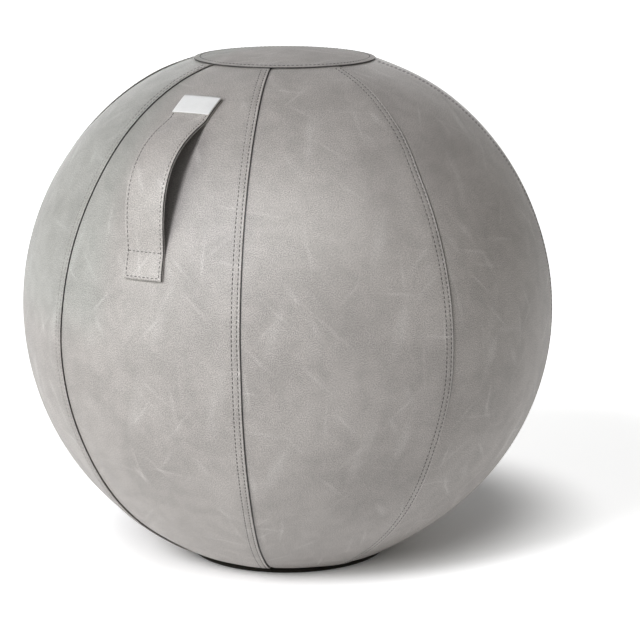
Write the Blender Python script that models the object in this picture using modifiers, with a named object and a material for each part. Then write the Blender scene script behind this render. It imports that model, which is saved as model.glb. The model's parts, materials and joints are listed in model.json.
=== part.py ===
"""Sitting ball: an air-filled ball in a sewn cover of eight panels, with a handle, a zip and a base ring.

Metres, +Z up. The origin lies on the floor under the ball's centre, and the handle faces -Y.
An azimuth is counted from -Y towards +X, and a polar angle from the top of the ball.
"""

import math

import bmesh
import bpy
from mathutils import Matrix, Vector

# Ball and cover
BALL_RADIUS = 0.325
PANEL_COUNT = 8
SKIN = 0.0012
GAP = 0.0003
SHOULDER_CROWN = 0.0045
SHOULDER_ANGLE = math.radians(40)
SHOULDER_SPREAD = math.radians(16)
EQUATOR_HOLLOW = 0.0018
EQUATOR_SPREAD = math.radians(28)
FLATTEN_END = math.radians(31)

# Lapped seams: a folded hem along each panel's right side lies over the next panel's edge
HEM_WIDTH = 0.012
HEM_SLOPE = 0.002
HEM_RAISE = 0.0013
RIM_RAISE = 0.0004
RIM_TAPER = math.radians(8)
LAP_RISE = 0.004

# Top patch and base panel
PATCH_RADIUS = 0.110
PATCH_PRESS = 0.0011
PATCH_RISE = 0.0074
PATCH_HEM = 0.009
PATCH_HEM_RAISE = 0.0008
RIM_LAP = 0.010
RIM_MARGIN = 0.002
BASE_RADIUS = 0.110
BASE_PRESS = 0.0021
BASE_BULGE = 0.0028

# Base ring
RING_REACH = 0.0087
RING_WIDTH = 0.0267
RING_HEIGHT = 0.007
RING_LIP_HEIGHT = 0.0088
RING_BULGE = 0.0045
RING_SKIN = 0.001

# Inner ball and valve
BALL_WALL = 0.0016
PLUG_STEM_RADIUS = 0.0042
PLUG_TAPER = 0.0006
PLUG_HEAD_REACH = 0.002
PLUG_HEAD_THICKNESS = 0.0011
COLLAR_WALL = 0.0012
COLLAR_LENGTH = 0.013
FLANGE_REACH = 0.005
FLANGE_THICKNESS = 0.0012

# Handle strap, along the middle of the front panel
HANDLE_TOP = math.radians(33.7)
HANDLE_BOTTOM = math.radians(75.0)
FREE_TOP = math.radians(40.4)
FREE_BOTTOM = math.radians(69.5)
HANDLE_WIDTH = 0.050
HANDLE_LAYER = 0.0016
HANDLE_BOW = 0.023
BOW_FULLNESS = 1.15
LABEL_BOTTOM = math.radians(38.9)
LABEL_INSET = 0.0005
LABEL_THICKNESS = 0.0005

# Zip in the back seam
ZIP_SEAM = 4
ZIP_TOP = math.radians(90)
ZIP_BOTTOM = math.radians(148)
ZIP_CORNER = math.radians(4.2)
ZIP_EDGE_STEP = 0.0015
TAPE_CLEARANCE = 0.0019
TAPE_THICKNESS = 0.0006
TAPE_TUCK = 0.007
TAPE_TAIL = math.radians(2.8)
CHAIN_SLIT = 0.0018
COIL_RADIUS = 0.0009
STOP_LENGTH = 0.003
STOP_HEIGHT = 0.0018
SLIDER_LENGTH = 0.011
SLIDER_PLATE = 0.001
SLIDER_LIP = 0.0009
SLIDER_CLEARANCE = 0.0008
COIL_CLEARANCE = 0.0006
RUNNING_GAP = 0.00035
BAIL_WIRE = 0.0006
BAIL_LENGTH = 0.006
PULL_BAR = 0.001
PULL_RIM = 0.0014
PULL_WINDOW = 0.0062
PULL_WINDOW_WIDTH = 0.0032
PULL_LENGTH = 0.022
PULL_THICKNESS = 0.0011

# Facets
TURN_STEPS = 40
DISC_ROWS = 4
RING_STEPS = 3
BALL_STEPS = 30
BALL_ROWS = 12
CAP_ROWS = 3
VALVE_STEPS = 16
SHOULDER_ROWS = 7
ZIP_ROWS = 7
PANEL_SHARES = (0.25, 0.5, 0.75)
ZIP_STEPS = 24
TIP_STEPS = 6
LABEL_ROWS = 2
SEWN_ROWS = 3
FREE_ROWS = 14
HANDLE_COLUMNS = 4

# Colours, as the photo shows them
GREY_LEATHER = (0.38, 0.36, 0.335, 1.0)
STRAP_LEATHER = (0.36, 0.34, 0.315, 1.0)
DARK_FABRIC = (0.02, 0.018, 0.017, 1.0)
LABEL_WHITE = (0.85, 0.85, 0.84, 1.0)
BALL_PLASTIC = (0.16, 0.17, 0.18, 1.0)
VALVE_WHITE = (0.75, 0.75, 0.73, 1.0)
FOAM_GREY = (0.30, 0.30, 0.30, 1.0)
ZIP_GREY = (0.10, 0.098, 0.095, 1.0)
COIL_GREY = (0.07, 0.069, 0.067, 1.0)
ZIP_METAL = (0.42, 0.41, 0.40, 1.0)

# Sizes that follow from the ones above
PANEL_ANGLE = 2 * math.pi / PANEL_COUNT
HEM_THICKNESS = 2 * SKIN
LAP_WIDTH = HEM_WIDTH - HEM_SLOPE
PATCH_RIM_HEIGHT = math.sqrt(BALL_RADIUS ** 2 - PATCH_RADIUS ** 2) - PATCH_PRESS
BASE_RIM_DEPTH = math.sqrt(BALL_RADIUS ** 2 - BASE_RADIUS ** 2) - BASE_PRESS
CENTRE_HEIGHT = BASE_RIM_DEPTH + RING_HEIGHT + GAP
RING_OUTER = BASE_RADIUS + RING_REACH
RING_INNER = RING_OUTER - RING_WIDTH
PLUG_HEAD_RADIUS = PLUG_STEM_RADIUS + PLUG_HEAD_REACH
VALVE_HOLE = PLUG_HEAD_RADIUS + COLLAR_WALL + 2 * GAP
LABEL_WIDTH = HANDLE_WIDTH - 2 * LABEL_INSET
ZIP_AZIMUTH = (ZIP_SEAM + 0.5) * PANEL_ANGLE
SLIDER_WEB = CHAIN_SLIT - 2 * RUNNING_GAP
SLIDER_WIDTH = CHAIN_SLIT + 4 * COIL_RADIUS + 2 * (COIL_CLEARANCE + SLIDER_LIP)
ZIP_EDGE = SLIDER_WIDTH / 2 + SLIDER_CLEARANCE
TAPE_DEPTH = HEM_THICKNESS - HEM_RAISE + TAPE_CLEARANCE
TAPE_EDGE = ZIP_EDGE + TAPE_TUCK
BALL_CLEARANCE = TAPE_DEPTH + TAPE_THICKNESS + RUNNING_GAP + SLIDER_PLATE + GAP
PULL_WIDTH = PULL_WINDOW_WIDTH + 2 * PULL_RIM
BAR_ROOM = math.hypot(PULL_BAR, PULL_THICKNESS) / 2 + RUNNING_GAP


def clear_scene():
    """Remove every object that is already in the file."""
    for found in list(bpy.data.objects):
        bpy.data.objects.remove(found, do_unlink=True)


def new_collection(name):
    """Make a collection in the scene."""
    collection = bpy.data.collections.new(name)
    bpy.context.scene.collection.children.link(collection)
    return collection


def new_material(name, colour, roughness, metallic=0.0):
    """A Principled BSDF material of one colour."""
    material = bpy.data.materials.new(name)
    material.use_nodes = True
    shader = material.node_tree.nodes["Principled BSDF"]
    shader.inputs["Base Color"].default_value = colour
    shader.inputs["Roughness"].default_value = roughness
    shader.inputs["Metallic"].default_value = metallic
    material.diffuse_color = colour
    return material


def add_object(name, data, material, parent):
    """Put a mesh or a curve into the ball's collection, under a parent empty or piece."""
    data.materials.append(material)
    piece = bpy.data.objects.new(name, data)
    PARTS.objects.link(piece)
    piece.parent = parent
    return piece


def add_empty(name, parent=None):
    """An empty that carries the pieces on one axis."""
    empty = bpy.data.objects.new(name, None)
    PARTS.objects.link(empty)
    empty.parent = parent
    return empty


def solidify(piece, thickness, group=None):
    """Give an open sheet its thickness, inwards from its outer face."""
    wall = piece.modifiers.new("wall", "SOLIDIFY")
    wall.thickness = thickness
    wall.offset = -1.0
    wall.use_even_offset = True
    wall.use_quality_normals = True
    if group:
        wall.vertex_group = group
        wall.thickness_vertex_group = SKIN / thickness


def screw(piece, axis, angle, steps):
    """Turn a profile about one of the object's own axes."""
    turn = piece.modifiers.new("turn", "SCREW")
    turn.axis = axis
    turn.angle = angle
    turn.steps = steps
    turn.render_steps = steps
    turn.use_merge_vertices = True
    turn.merge_threshold = 0.00001
    turn.use_smooth_shade = True


def turned(name, profile, material, parent, steps, closed):
    """A turned piece from (radius, height) points that run down its outer side."""
    points = [(radius, 0.0, height) for radius, height in profile]
    edges = [(i, i + 1) for i in range(len(points) - 1)]
    if closed:
        edges.append((len(points) - 1, 0))
    mesh = bpy.data.meshes.new(name)
    mesh.from_pydata(points, edges, [])
    piece = add_object(name, mesh, material, parent)
    screw(piece, "Z", 2 * math.pi, steps)
    return piece


def mapped_sheet(name, columns, rows, place):
    """A grid whose vertices go where place(column, row) says, as a mesh."""
    grid = bmesh.new()
    bmesh.ops.create_grid(grid, x_segments=columns, y_segments=rows, size=0.5)
    for vertex in grid.verts:
        column = round((vertex.co.x + 0.5) * columns)
        row = round((vertex.co.y + 0.5) * rows)
        vertex.co = place(column, row)
    bmesh.ops.recalc_face_normals(grid, faces=grid.faces)
    mesh = bpy.data.meshes.new(name)
    middle = sum((face.normal.dot(face.calc_center_median()) for face in grid.faces), 0.0)
    if middle < 0:
        bmesh.ops.reverse_faces(grid, faces=grid.faces)
    grid.to_mesh(mesh)
    grid.free()
    mesh.shade_smooth()
    return mesh


def curve_mesh(name, splines, depth=0.0, extrude=0.0, resolution=1, flat=False):
    """A mesh made from closed outlines (flat) or from an open wire, with its caps welded."""
    curve = bpy.data.curves.new(name, "CURVE")
    curve.dimensions = "2D" if flat else "3D"
    curve.fill_mode = "BOTH" if flat else "FULL"
    curve.extrude = extrude
    curve.bevel_depth = depth
    curve.bevel_resolution = resolution
    curve.use_fill_caps = not flat
    for points in splines:
        spline = curve.splines.new("POLY")
        spline.points.add(len(points) - 1)
        for target, point in zip(spline.points, points):
            target.co = (*Vector(point).to_3d(), 1.0)
        spline.use_cyclic_u = flat
    holder = bpy.data.objects.new(name, curve)
    bpy.context.scene.collection.objects.link(holder)
    evaluated = holder.evaluated_get(bpy.context.evaluated_depsgraph_get())
    mesh = bpy.data.meshes.new_from_object(evaluated)
    bpy.data.objects.remove(holder)
    welded = bmesh.new()
    welded.from_mesh(mesh)
    bmesh.ops.remove_doubles(welded, verts=welded.verts, dist=0.000001)
    bmesh.ops.recalc_face_normals(welded, faces=welded.faces)
    welded.to_mesh(mesh)
    welded.free()
    return mesh


def extruded_mesh(name, outline, length):
    """A bar of one (across, up) section, extruded both ways along Y."""
    bar = bmesh.new()
    section = bar.faces.new([bar.verts.new((across, -length / 2, up)) for across, up in outline])
    sweep = bmesh.ops.extrude_face_region(bar, geom=[section], use_keep_orig=True)
    moved = [item for item in sweep["geom"] if isinstance(item, bmesh.types.BMVert)]
    bmesh.ops.translate(bar, verts=moved, vec=(0.0, length, 0.0))
    bmesh.ops.recalc_face_normals(bar, faces=bar.faces)
    mesh = bpy.data.meshes.new(name)
    bar.to_mesh(mesh)
    bar.free()
    return mesh


def box_mesh(name, size, centre):
    """A box as a mesh, of a size and about a centre."""
    block = bmesh.new()
    place = Matrix.Translation(centre) @ Matrix.Diagonal((*size, 1.0))
    bmesh.ops.create_cube(block, size=1.0, matrix=place)
    mesh = bpy.data.meshes.new(name)
    block.to_mesh(mesh)
    block.free()
    return mesh


def arc(centre, radii, start, end, steps):
    """Points on an elliptic arc in a (radius, height) plane, with angles in radians."""
    angles = [start + (end - start) * i / steps for i in range(steps + 1)]
    return [(centre[0] + radii[0] * math.cos(a), centre[1] + radii[1] * math.sin(a)) for a in angles]


def dome(radius, rim_radius, rise):
    """Height of a shallow dome above its rim."""
    return rise * (1 - (radius / rim_radius) ** 2)


def patch_outer(radius):
    """Height of the top patch's outer face, without its hem."""
    return PATCH_RIM_HEIGHT + dome(radius, PATCH_RADIUS, PATCH_RISE)


def base_outer(radius):
    """Height of the base panel's lower face, which bulges down inside the ring."""
    return -BASE_RIM_DEPTH - dome(radius, BASE_RADIUS, BASE_BULGE)


def panel_top(radius):
    """Height of a panel's outer face where it lies under the top patch."""
    return patch_outer(radius) - SKIN - GAP - RIM_RAISE


def panel_foot(radius):
    """Height of a panel's outer face where it lies over the base panel."""
    return base_outer(radius) + SKIN + GAP + RIM_RAISE


TOP_RIM = (PATCH_RADIUS + RIM_MARGIN, panel_top(PATCH_RADIUS + RIM_MARGIN))
FOOT_RIM = (BASE_RADIUS + RIM_MARGIN, panel_foot(BASE_RADIUS + RIM_MARGIN))
TOP_RIM_ANGLE = math.atan2(*TOP_RIM)
FOOT_RIM_ANGLE = math.atan2(*FOOT_RIM)


def pole_angle(polar):
    """Angle from the nearer pole, and the rim angle and rim point at that pole."""
    if polar < math.pi / 2:
        return polar, TOP_RIM_ANGLE, TOP_RIM
    return math.pi - polar, math.pi - FOOT_RIM_ANGLE, FOOT_RIM


def seam_radius(polar):
    """Distance of the cover's outer face from the ball's centre along a seam, flattened to the rims."""
    from_pole, rim_angle, rim = pole_angle(polar)
    share = max(0.0, (FLATTEN_END - from_pole) / (FLATTEN_END - rim_angle))
    return BALL_RADIUS - share ** 2 * (BALL_RADIUS - math.hypot(*rim))


def rim_share(polar):
    """0 where a rim presses a panel down, and 1 once clear of it."""
    from_pole, rim_angle, _ = pole_angle(polar)
    return min(1.0, max(0.0, (from_pole - rim_angle) / RIM_TAPER))


def crown(polar, across):
    """Swell of a panel between its seams, for a place across it from -0.5 to 0.5."""
    shoulder = SHOULDER_CROWN * math.exp(-(((polar - SHOULDER_ANGLE) / SHOULDER_SPREAD) ** 2))
    hollow = EQUATOR_HOLLOW * math.exp(-(((polar - math.pi / 2) / EQUATOR_SPREAD) ** 2))
    return rim_share(polar) * (shoulder - hollow) * (1 - (2 * across) ** 2) ** 2


def hem_raise(polar):
    """How far a hem's outer face stands out, less where the rims press it down."""
    return RIM_RAISE + rim_share(polar) * (HEM_RAISE - RIM_RAISE)


def lap_depth(polar):
    """Height of a lapped edge's outer face, just under the hem that covers it."""
    return hem_raise(polar) - HEM_THICKNESS - GAP


def point_at(radius, polar, azimuth):
    """A point in the ball's own frame."""
    level = radius * math.sin(polar)
    return Vector((level * math.sin(azimuth), -level * math.cos(azimuth), radius * math.cos(polar)))


def spread(start, end, count):
    """Evenly spaced values from start to end, without the start itself."""
    return [start + (end - start) * i / count for i in range(1, count + 1)]


def panel_rows():
    """Each row of a panel as its polar angle, its seam radius and how far the zip has opened the seam there."""
    def rim_row(radius, height):
        return math.atan2(radius, height), math.hypot(radius, height), 0

    upper = ZIP_TOP - 2 * ZIP_CORNER
    states = [(polar, 0) for polar in spread(TOP_RIM_ANGLE, upper, SHOULDER_ROWS)]
    states.append((ZIP_TOP - ZIP_CORNER, 1))
    states.append((ZIP_TOP, 2))
    states += [(polar, 2) for polar in spread(ZIP_TOP, ZIP_BOTTOM, ZIP_ROWS)]
    states.append((ZIP_BOTTOM + ZIP_CORNER, 1))
    states.append((ZIP_BOTTOM + 2 * ZIP_CORNER, 0))
    top_end = PATCH_RADIUS - RIM_LAP
    foot_end = BASE_RADIUS - RIM_LAP
    rows = [rim_row(top_end, panel_top(top_end)), rim_row(*TOP_RIM)]
    rows += [(polar, seam_radius(polar), state) for polar, state in states]
    rows += [rim_row(*FOOT_RIM), rim_row(foot_end, panel_foot(foot_end))]
    return rows


def left_stations(depth, state):
    """Distances from the left seam and heights of a panel's lapped edge, cut back beside the zip."""
    if state == 2:
        return [(ZIP_EDGE + i * ZIP_EDGE_STEP, 0.0) for i in range(3)]
    edge = ZIP_EDGE - SKIN if state == 1 else LAP_WIDTH
    return [(-edge, depth), (0.0, depth), (LAP_RISE, depth / 4)]


def right_stations(height, state):
    """Distances from the right seam and heights of a panel's hem, cut back beside the zip."""
    edge = ZIP_EDGE if state else 0.0
    return [(-HEM_WIDTH - HEM_SLOPE, 0.0), (-HEM_WIDTH, height), (-edge, height)]


def cover_panel(index, material, parent):
    """One panel: a thin sheet between two seams, with a doubled hem along its right side."""
    middle = index * PANEL_ANGLE
    rows = panel_rows()

    def stations(polar, radius, state):
        on_left = state if index == ZIP_SEAM + 1 else 0
        on_right = state if index == ZIP_SEAM else 0
        whole = radius * math.sin(polar) * PANEL_ANGLE
        left = left_stations(lap_depth(polar), on_left)
        right = right_stations(hem_raise(polar), on_right)
        found = [(-0.5 + along / whole, height) for along, height in left]
        found += [(share - 0.5, crown(polar, share - 0.5)) for share in PANEL_SHARES]
        return found + [(0.5 + along / whole, height) for along, height in right]

    def place(column, row):
        polar, radius, state = rows[row]
        across, height = stations(polar, radius, state)[column]
        return point_at(radius + height, polar, middle + across * PANEL_ANGLE)

    columns = len(stations(*rows[0])) - 1
    name = f"cover_panel_{index + 1}"
    mesh = mapped_sheet(name, columns, len(rows) - 1, place)
    panel = add_object(name, mesh, material, parent)
    hem = panel.vertex_groups.new(name="hem")
    in_hem = [
        column + row * (columns + 1) for row in range(len(rows)) for column in (columns - 1, columns)
    ]
    hem.add(in_hem, 1.0, "REPLACE")
    solidify(panel, HEM_THICKNESS, "hem")


def top_patch(material, parent):
    """The round patch over the panels' upper ends, with a folded hem round its rim."""
    hem_start = PATCH_RADIUS - PATCH_HEM
    inner = [hem_start * i / DISC_ROWS for i in range(DISC_ROWS + 1)]
    outer = [(radius, patch_outer(radius)) for radius in inner]
    hem_radii = (hem_start + SKIN, PATCH_RADIUS - SKIN)
    hem = [(radius, patch_outer(radius) + PATCH_HEM_RAISE) for radius in hem_radii]
    rim = [(PATCH_RADIUS, patch_outer(PATCH_RADIUS)), (PATCH_RADIUS, patch_outer(PATCH_RADIUS) - SKIN)]
    under = [(radius, patch_outer(radius) - SKIN) for radius in reversed(inner)]
    turned("top_patch", outer + hem + rim + under, material, parent, TURN_STEPS, closed=False)


def base_panel(material, parent):
    """The round panel that closes the underside, inside the ring."""
    radii = [BASE_RADIUS * i / DISC_ROWS for i in range(DISC_ROWS + 1)]
    upper = [(radius, base_outer(radius) + SKIN) for radius in radii]
    lower = [(radius, base_outer(radius)) for radius in reversed(radii)]
    turned("base_panel", upper + lower, material, parent, TURN_STEPS, closed=False)


def ring_path(inset):
    """The ring's sewn skin in section, from its outer lip down, under and up its inner side."""
    outer_half = RING_LIP_HEIGHT / 2
    inner_half = RING_HEIGHT / 2
    outer_centre = (RING_OUTER - RING_BULGE, outer_half - CENTRE_HEIGHT)
    inner_centre = (RING_INNER + RING_BULGE, inner_half - CENTRE_HEIGHT)
    outer_radii = (RING_BULGE - inset, outer_half - inset)
    inner_radii = (RING_BULGE - inset, inner_half - inset)
    outer = arc(outer_centre, outer_radii, math.pi / 2, -math.pi / 2, 2 * RING_STEPS)
    inner = arc(inner_centre, inner_radii, -math.pi / 2, -math.pi, RING_STEPS)
    return outer + inner


def base_ring(cover_material, filling_material, parent):
    """The ring that steadies the ball: a sewn channel, open to the base panel, round a soft filling."""
    edge_radii = (RING_INNER, RING_INNER + RING_SKIN)
    edge = [(radius, base_outer(RING_INNER) - GAP) for radius in edge_radii]
    outline = ring_path(0.0) + edge + list(reversed(ring_path(RING_SKIN)))
    turned("base_ring_cover", outline, cover_material, parent, TURN_STEPS, closed=True)
    inset = RING_SKIN + GAP
    core = ring_path(inset)
    core.append((RING_INNER + inset, base_outer(RING_INNER) - GAP))
    core.append((BASE_RADIUS, base_outer(BASE_RADIUS) - GAP))
    turned("base_ring_filling", core, filling_material, parent, TURN_STEPS, closed=True)


def inner_ball(material, parent):
    """The air-filled ball, one thick wall with a hole for the valve at its foot."""
    cap_edge = PATCH_RADIUS - RIM_LAP
    top = patch_outer(0.0) - SKIN - GAP
    top_fall = top - (panel_top(cap_edge) - BALL_CLEARANCE)
    foot = base_outer(0.0) + SKIN + GAP
    foot_rise = panel_foot(cap_edge) + BALL_CLEARANCE - foot
    angles = [TOP_RIM_ANGLE] + spread(TOP_RIM_ANGLE, FOOT_RIM_ANGLE, BALL_ROWS)

    def section(wall):
        radii = [cap_edge * i / CAP_ROWS for i in range(CAP_ROWS + 1)]
        upper = [(radius, top - wall - top_fall * (radius / cap_edge) ** 2) for radius in radii]
        side = []
        for polar in angles:
            reach = seam_radius(polar) - BALL_CLEARANCE - wall
            side.append((reach * math.sin(polar), reach * math.cos(polar)))
        lower_radii = [cap_edge] + spread(cap_edge, VALVE_HOLE, CAP_ROWS)
        lower = [(radius, foot + wall + foot_rise * (radius / cap_edge) ** 2) for radius in lower_radii]
        return upper + side + lower

    outline = section(0.0) + list(reversed(section(BALL_WALL)))
    turned("inner_ball", outline, material, parent, BALL_STEPS, closed=False)
    return foot


def valve(foot, collar_material, plug_material, parent):
    """The valve in the ball's foot: a flanged collar, and a tapered plug with its head let into the collar."""
    head_top = foot + PLUG_HEAD_THICKNESS + GAP
    flange_foot = foot + BALL_WALL + 2 * GAP
    flange_top = flange_foot + FLANGE_THICKNESS
    flange_edge = VALVE_HOLE + FLANGE_REACH
    end = foot + COLLAR_LENGTH
    outside = VALVE_HOLE - GAP
    bore = PLUG_STEM_RADIUS + GAP
    recess = PLUG_HEAD_RADIUS + GAP
    collar = [
        (outside, end),
        (outside, flange_top),
        (flange_edge, flange_top),
        (flange_edge, flange_foot),
        (outside, flange_foot),
        (outside, foot),
        (recess, foot),
        (recess, head_top + GAP),
        (bore, head_top + GAP),
        (bore - PLUG_TAPER, end),
    ]
    turned("valve_collar", collar, collar_material, parent, VALVE_STEPS, closed=True)
    plug = [
        (0.0, end),
        (PLUG_STEM_RADIUS - PLUG_TAPER, end),
        (PLUG_STEM_RADIUS, head_top),
        (PLUG_HEAD_RADIUS, head_top),
        (PLUG_HEAD_RADIUS, foot + GAP),
        (0.0, foot + GAP),
    ]
    turned("valve_plug", plug, plug_material, parent, VALVE_STEPS, closed=False)


def strap_lift(polar):
    """How far the strap's inner face stands off the panel: sewn flat at its ends, bowed between them."""
    share = (polar - FREE_TOP) / (FREE_BOTTOM - FREE_TOP)
    if share <= 0.0 or share >= 1.0:
        return GAP
    return GAP + HANDLE_BOW * math.sin(math.pi * share) ** BOW_FULLNESS


def strap_sheet(name, polars, width, lift, thickness, material, parent):
    """A flat band along the middle of the front panel, through the polar angles given."""
    def place(column, row):
        polar = polars[row]
        aside = (column / HANDLE_COLUMNS - 0.5) * width
        azimuth = aside / (BALL_RADIUS * math.sin(polar))
        surface = seam_radius(polar) + crown(polar, azimuth / PANEL_ANGLE)
        return point_at(surface + strap_lift(polar) + lift + thickness, polar, azimuth)

    mesh = mapped_sheet(name, HANDLE_COLUMNS, len(polars) - 1, place)
    band = add_object(name, mesh, material, parent)
    solidify(band, thickness)


def handle(strap_material, backing_material, label_material, parent):
    """The carrying handle: two layers of strap, and a blank label over the upper end."""
    labelled = [HANDLE_TOP] + spread(HANDLE_TOP, LABEL_BOTTOM, LABEL_ROWS)
    free = [FREE_TOP] + spread(FREE_TOP, FREE_BOTTOM, FREE_ROWS)
    whole = labelled + free + spread(FREE_BOTTOM, HANDLE_BOTTOM, SEWN_ROWS)
    strap_sheet("handle_backing", whole, HANDLE_WIDTH, 0.0, HANDLE_LAYER, backing_material, parent)
    lift = HANDLE_LAYER + GAP
    strap_sheet("handle_strap", whole, HANDLE_WIDTH, lift, HANDLE_LAYER, strap_material, parent)
    lift += HANDLE_LAYER + GAP
    strap_sheet("label", labelled, LABEL_WIDTH, lift, LABEL_THICKNESS, label_material, parent)


def zip_tape(name, side, material, axis):
    """One woven tape, sewn under a panel's edge: a strip turned about the ball's centre."""
    radius = BALL_RADIUS - TAPE_DEPTH
    ends = sorted((side * CHAIN_SLIT / 2, side * TAPE_EDGE))
    mesh = bpy.data.meshes.new(name)
    mesh.from_pydata([(ends[1], 0.0, radius), (ends[0], 0.0, radius)], [(0, 1)], [])
    tape = add_object(name, mesh, material, axis)
    tape.rotation_euler.x = ZIP_TOP - TAPE_TAIL
    screw(tape, "X", ZIP_BOTTOM - ZIP_TOP + 2 * TAPE_TAIL, ZIP_STEPS)
    solidify(tape, TAPE_THICKNESS)


def chain_ends():
    """Polar angles where the coils start and end, between the two stops."""
    room = (STOP_LENGTH + GAP) / BALL_RADIUS
    return ZIP_TOP + room, ZIP_BOTTOM - room


def zip_coil(name, side, material, axis):
    """One coil, a bead that stands on its tape beside the slit."""
    start, end = chain_ends()
    radius = BALL_RADIUS - TAPE_DEPTH + GAP + COIL_RADIUS
    aside = side * (CHAIN_SLIT / 2 + COIL_RADIUS)
    turns = [(end - start) * i / ZIP_STEPS for i in range(ZIP_STEPS + 1)]
    route = [(aside, -radius * math.sin(turn), radius * math.cos(turn)) for turn in turns]
    mesh = curve_mesh(name, [route], depth=COIL_RADIUS)
    coil = add_object(name, mesh, material, axis)
    coil.rotation_euler.x = start


def zip_stop(name, polar, material, axis):
    """A stop that bridges both tapes at one end of the coils."""
    width = CHAIN_SLIT + 4 * COIL_RADIUS
    height = BALL_RADIUS - TAPE_DEPTH + GAP + STOP_HEIGHT / 2
    mesh = box_mesh(name, (width, STOP_LENGTH, STOP_HEIGHT), (0.0, 0.0, height))
    stop = add_object(name, mesh, material, axis)
    stop.rotation_euler.x = polar


def slider_levels():
    """Distances from the ball's centre of the slider's four plate faces, from the top down."""
    coil_top = BALL_RADIUS - TAPE_DEPTH + GAP + 2 * COIL_RADIUS
    tape_foot = BALL_RADIUS - TAPE_DEPTH - TAPE_THICKNESS
    under_top = coil_top + RUNNING_GAP
    over_foot = tape_foot - RUNNING_GAP
    return under_top + SLIDER_PLATE, under_top, over_foot, over_foot - SLIDER_PLATE


def zip_slider(material, axis):
    """The slider: two plates joined by a web in the slit, lips beside the coils, and a bail on top."""
    top, under_top, over_foot, foot = slider_levels()
    half = SLIDER_WIDTH / 2
    lip_end = BALL_RADIUS - TAPE_DEPTH + RUNNING_GAP
    web = SLIDER_WEB / 2
    right = [
        (half, top),
        (half, lip_end),
        (half - SLIDER_LIP, lip_end),
        (half - SLIDER_LIP, under_top),
        (web, under_top),
        (web, over_foot),
        (half, over_foot),
        (half, foot),
    ]
    left = [(-aside, height) for aside, height in reversed(right)]
    mesh = extruded_mesh("zip_slider", right + left, SLIDER_LENGTH)
    slider = add_object("zip_slider", mesh, material, axis)
    slider.rotation_euler.x = slider_rest()
    crest = top + 2 * BAR_ROOM + BAIL_WIRE
    reach = BAIL_LENGTH / 2
    route = [
        (0.0, -reach, top - BAIL_WIRE),
        (0.0, -reach, crest - BAIL_WIRE),
        (0.0, -reach + BAIL_WIRE, crest),
        (0.0, reach - BAIL_WIRE, crest),
        (0.0, reach, crest - BAIL_WIRE),
        (0.0, reach, top - BAIL_WIRE),
    ]
    bail = bpy.data.objects.new("zip_bail", curve_mesh("zip_bail", [route], depth=BAIL_WIRE, resolution=2))
    CUTTERS.objects.link(bail)
    bail.parent = slider
    bail.hide_render = True
    bail.display_type = "WIRE"
    join = slider.modifiers.new("bail", "BOOLEAN")
    join.operation = "UNION"
    join.object = bail
    return slider


def slider_rest():
    """Polar angle of the slider's middle when the zip is closed and the slider sits on the lower stop."""
    return chain_ends()[1] - (SLIDER_LENGTH / 2) / BALL_RADIUS


def pull_pivot():
    """Where the pull's bar turns, under the bail, in the slider's own frame."""
    top = slider_levels()[0]
    aside = BAIL_LENGTH / 2 - BAIL_WIRE - BAR_ROOM
    return Vector((0.0, -aside, top + BAR_ROOM))


def zip_pull(material, slider):
    """The pull tab: a flat tab with a window round the bail, hanging straight down."""
    half = PULL_WIDTH / 2
    bar = PULL_BAR / 2
    tip = -(PULL_LENGTH - half)
    rounded = arc((0.0, tip), (half, half), 0.0, -math.pi, TIP_STEPS)
    outline = [(-half, bar), (half, bar)] + rounded
    inner = PULL_WINDOW_WIDTH / 2
    window = [(-inner, -bar), (-inner, -bar - PULL_WINDOW), (inner, -bar - PULL_WINDOW), (inner, -bar)]
    mesh = curve_mesh("zip_pull", [outline, window], extrude=PULL_THICKNESS / 2, flat=True)
    pull = add_object("zip_pull", mesh, material, slider)
    pull.location = pull_pivot()
    pull.rotation_euler.x = math.pi / 2 - slider_rest()


def zip_fastener(tape_material, coil_material, metal_material, centre):
    """The zip in the back seam, with its slider at the lower end."""
    axis = add_empty("zip_axis", centre)
    axis.rotation_euler.z = ZIP_AZIMUTH
    for name, side in (("left", -1), ("right", 1)):
        zip_tape(f"zip_tape_{name}", side, tape_material, axis)
        zip_coil(f"zip_coil_{name}", side, coil_material, axis)
    half_stop = STOP_LENGTH / 2 / BALL_RADIUS
    zip_stop("zip_upper_stop", ZIP_TOP + half_stop, metal_material, axis)
    zip_stop("zip_lower_stop", ZIP_BOTTOM - half_stop, metal_material, axis)
    slider = zip_slider(metal_material, axis)
    zip_pull(metal_material, slider)


def build():
    """Build the whole ball."""
    leather = new_material("grey_leatherette", GREY_LEATHER, 0.5)
    strap = new_material("strap_leatherette", STRAP_LEATHER, 0.5)
    fabric = new_material("dark_fabric", DARK_FABRIC, 0.85)
    white = new_material("label_white", LABEL_WHITE, 0.6)
    plastic = new_material("ball_plastic", BALL_PLASTIC, 0.45)
    valve_white = new_material("valve_white", VALVE_WHITE, 0.4)
    foam = new_material("foam_grey", FOAM_GREY, 0.9)
    tape = new_material("zip_tape_grey", ZIP_GREY, 0.8)
    coil = new_material("zip_coil_plastic", COIL_GREY, 0.5)
    metal = new_material("zip_metal", ZIP_METAL, 0.35, 1.0)
    centre = add_empty("ball_centre")
    centre.location.z = CENTRE_HEIGHT
    for index in range(PANEL_COUNT):
        cover_panel(index, leather, centre)
    top_patch(leather, centre)
    base_panel(fabric, centre)
    base_ring(fabric, foam, centre)
    foot = inner_ball(plastic, centre)
    valve(foot, plastic, valve_white, centre)
    handle(strap, strap, white, centre)
    zip_fastener(tape, coil, metal, centre)


clear_scene()
PARTS = new_collection("sitting_ball")
CUTTERS = new_collection("cutters")
build()
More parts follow.
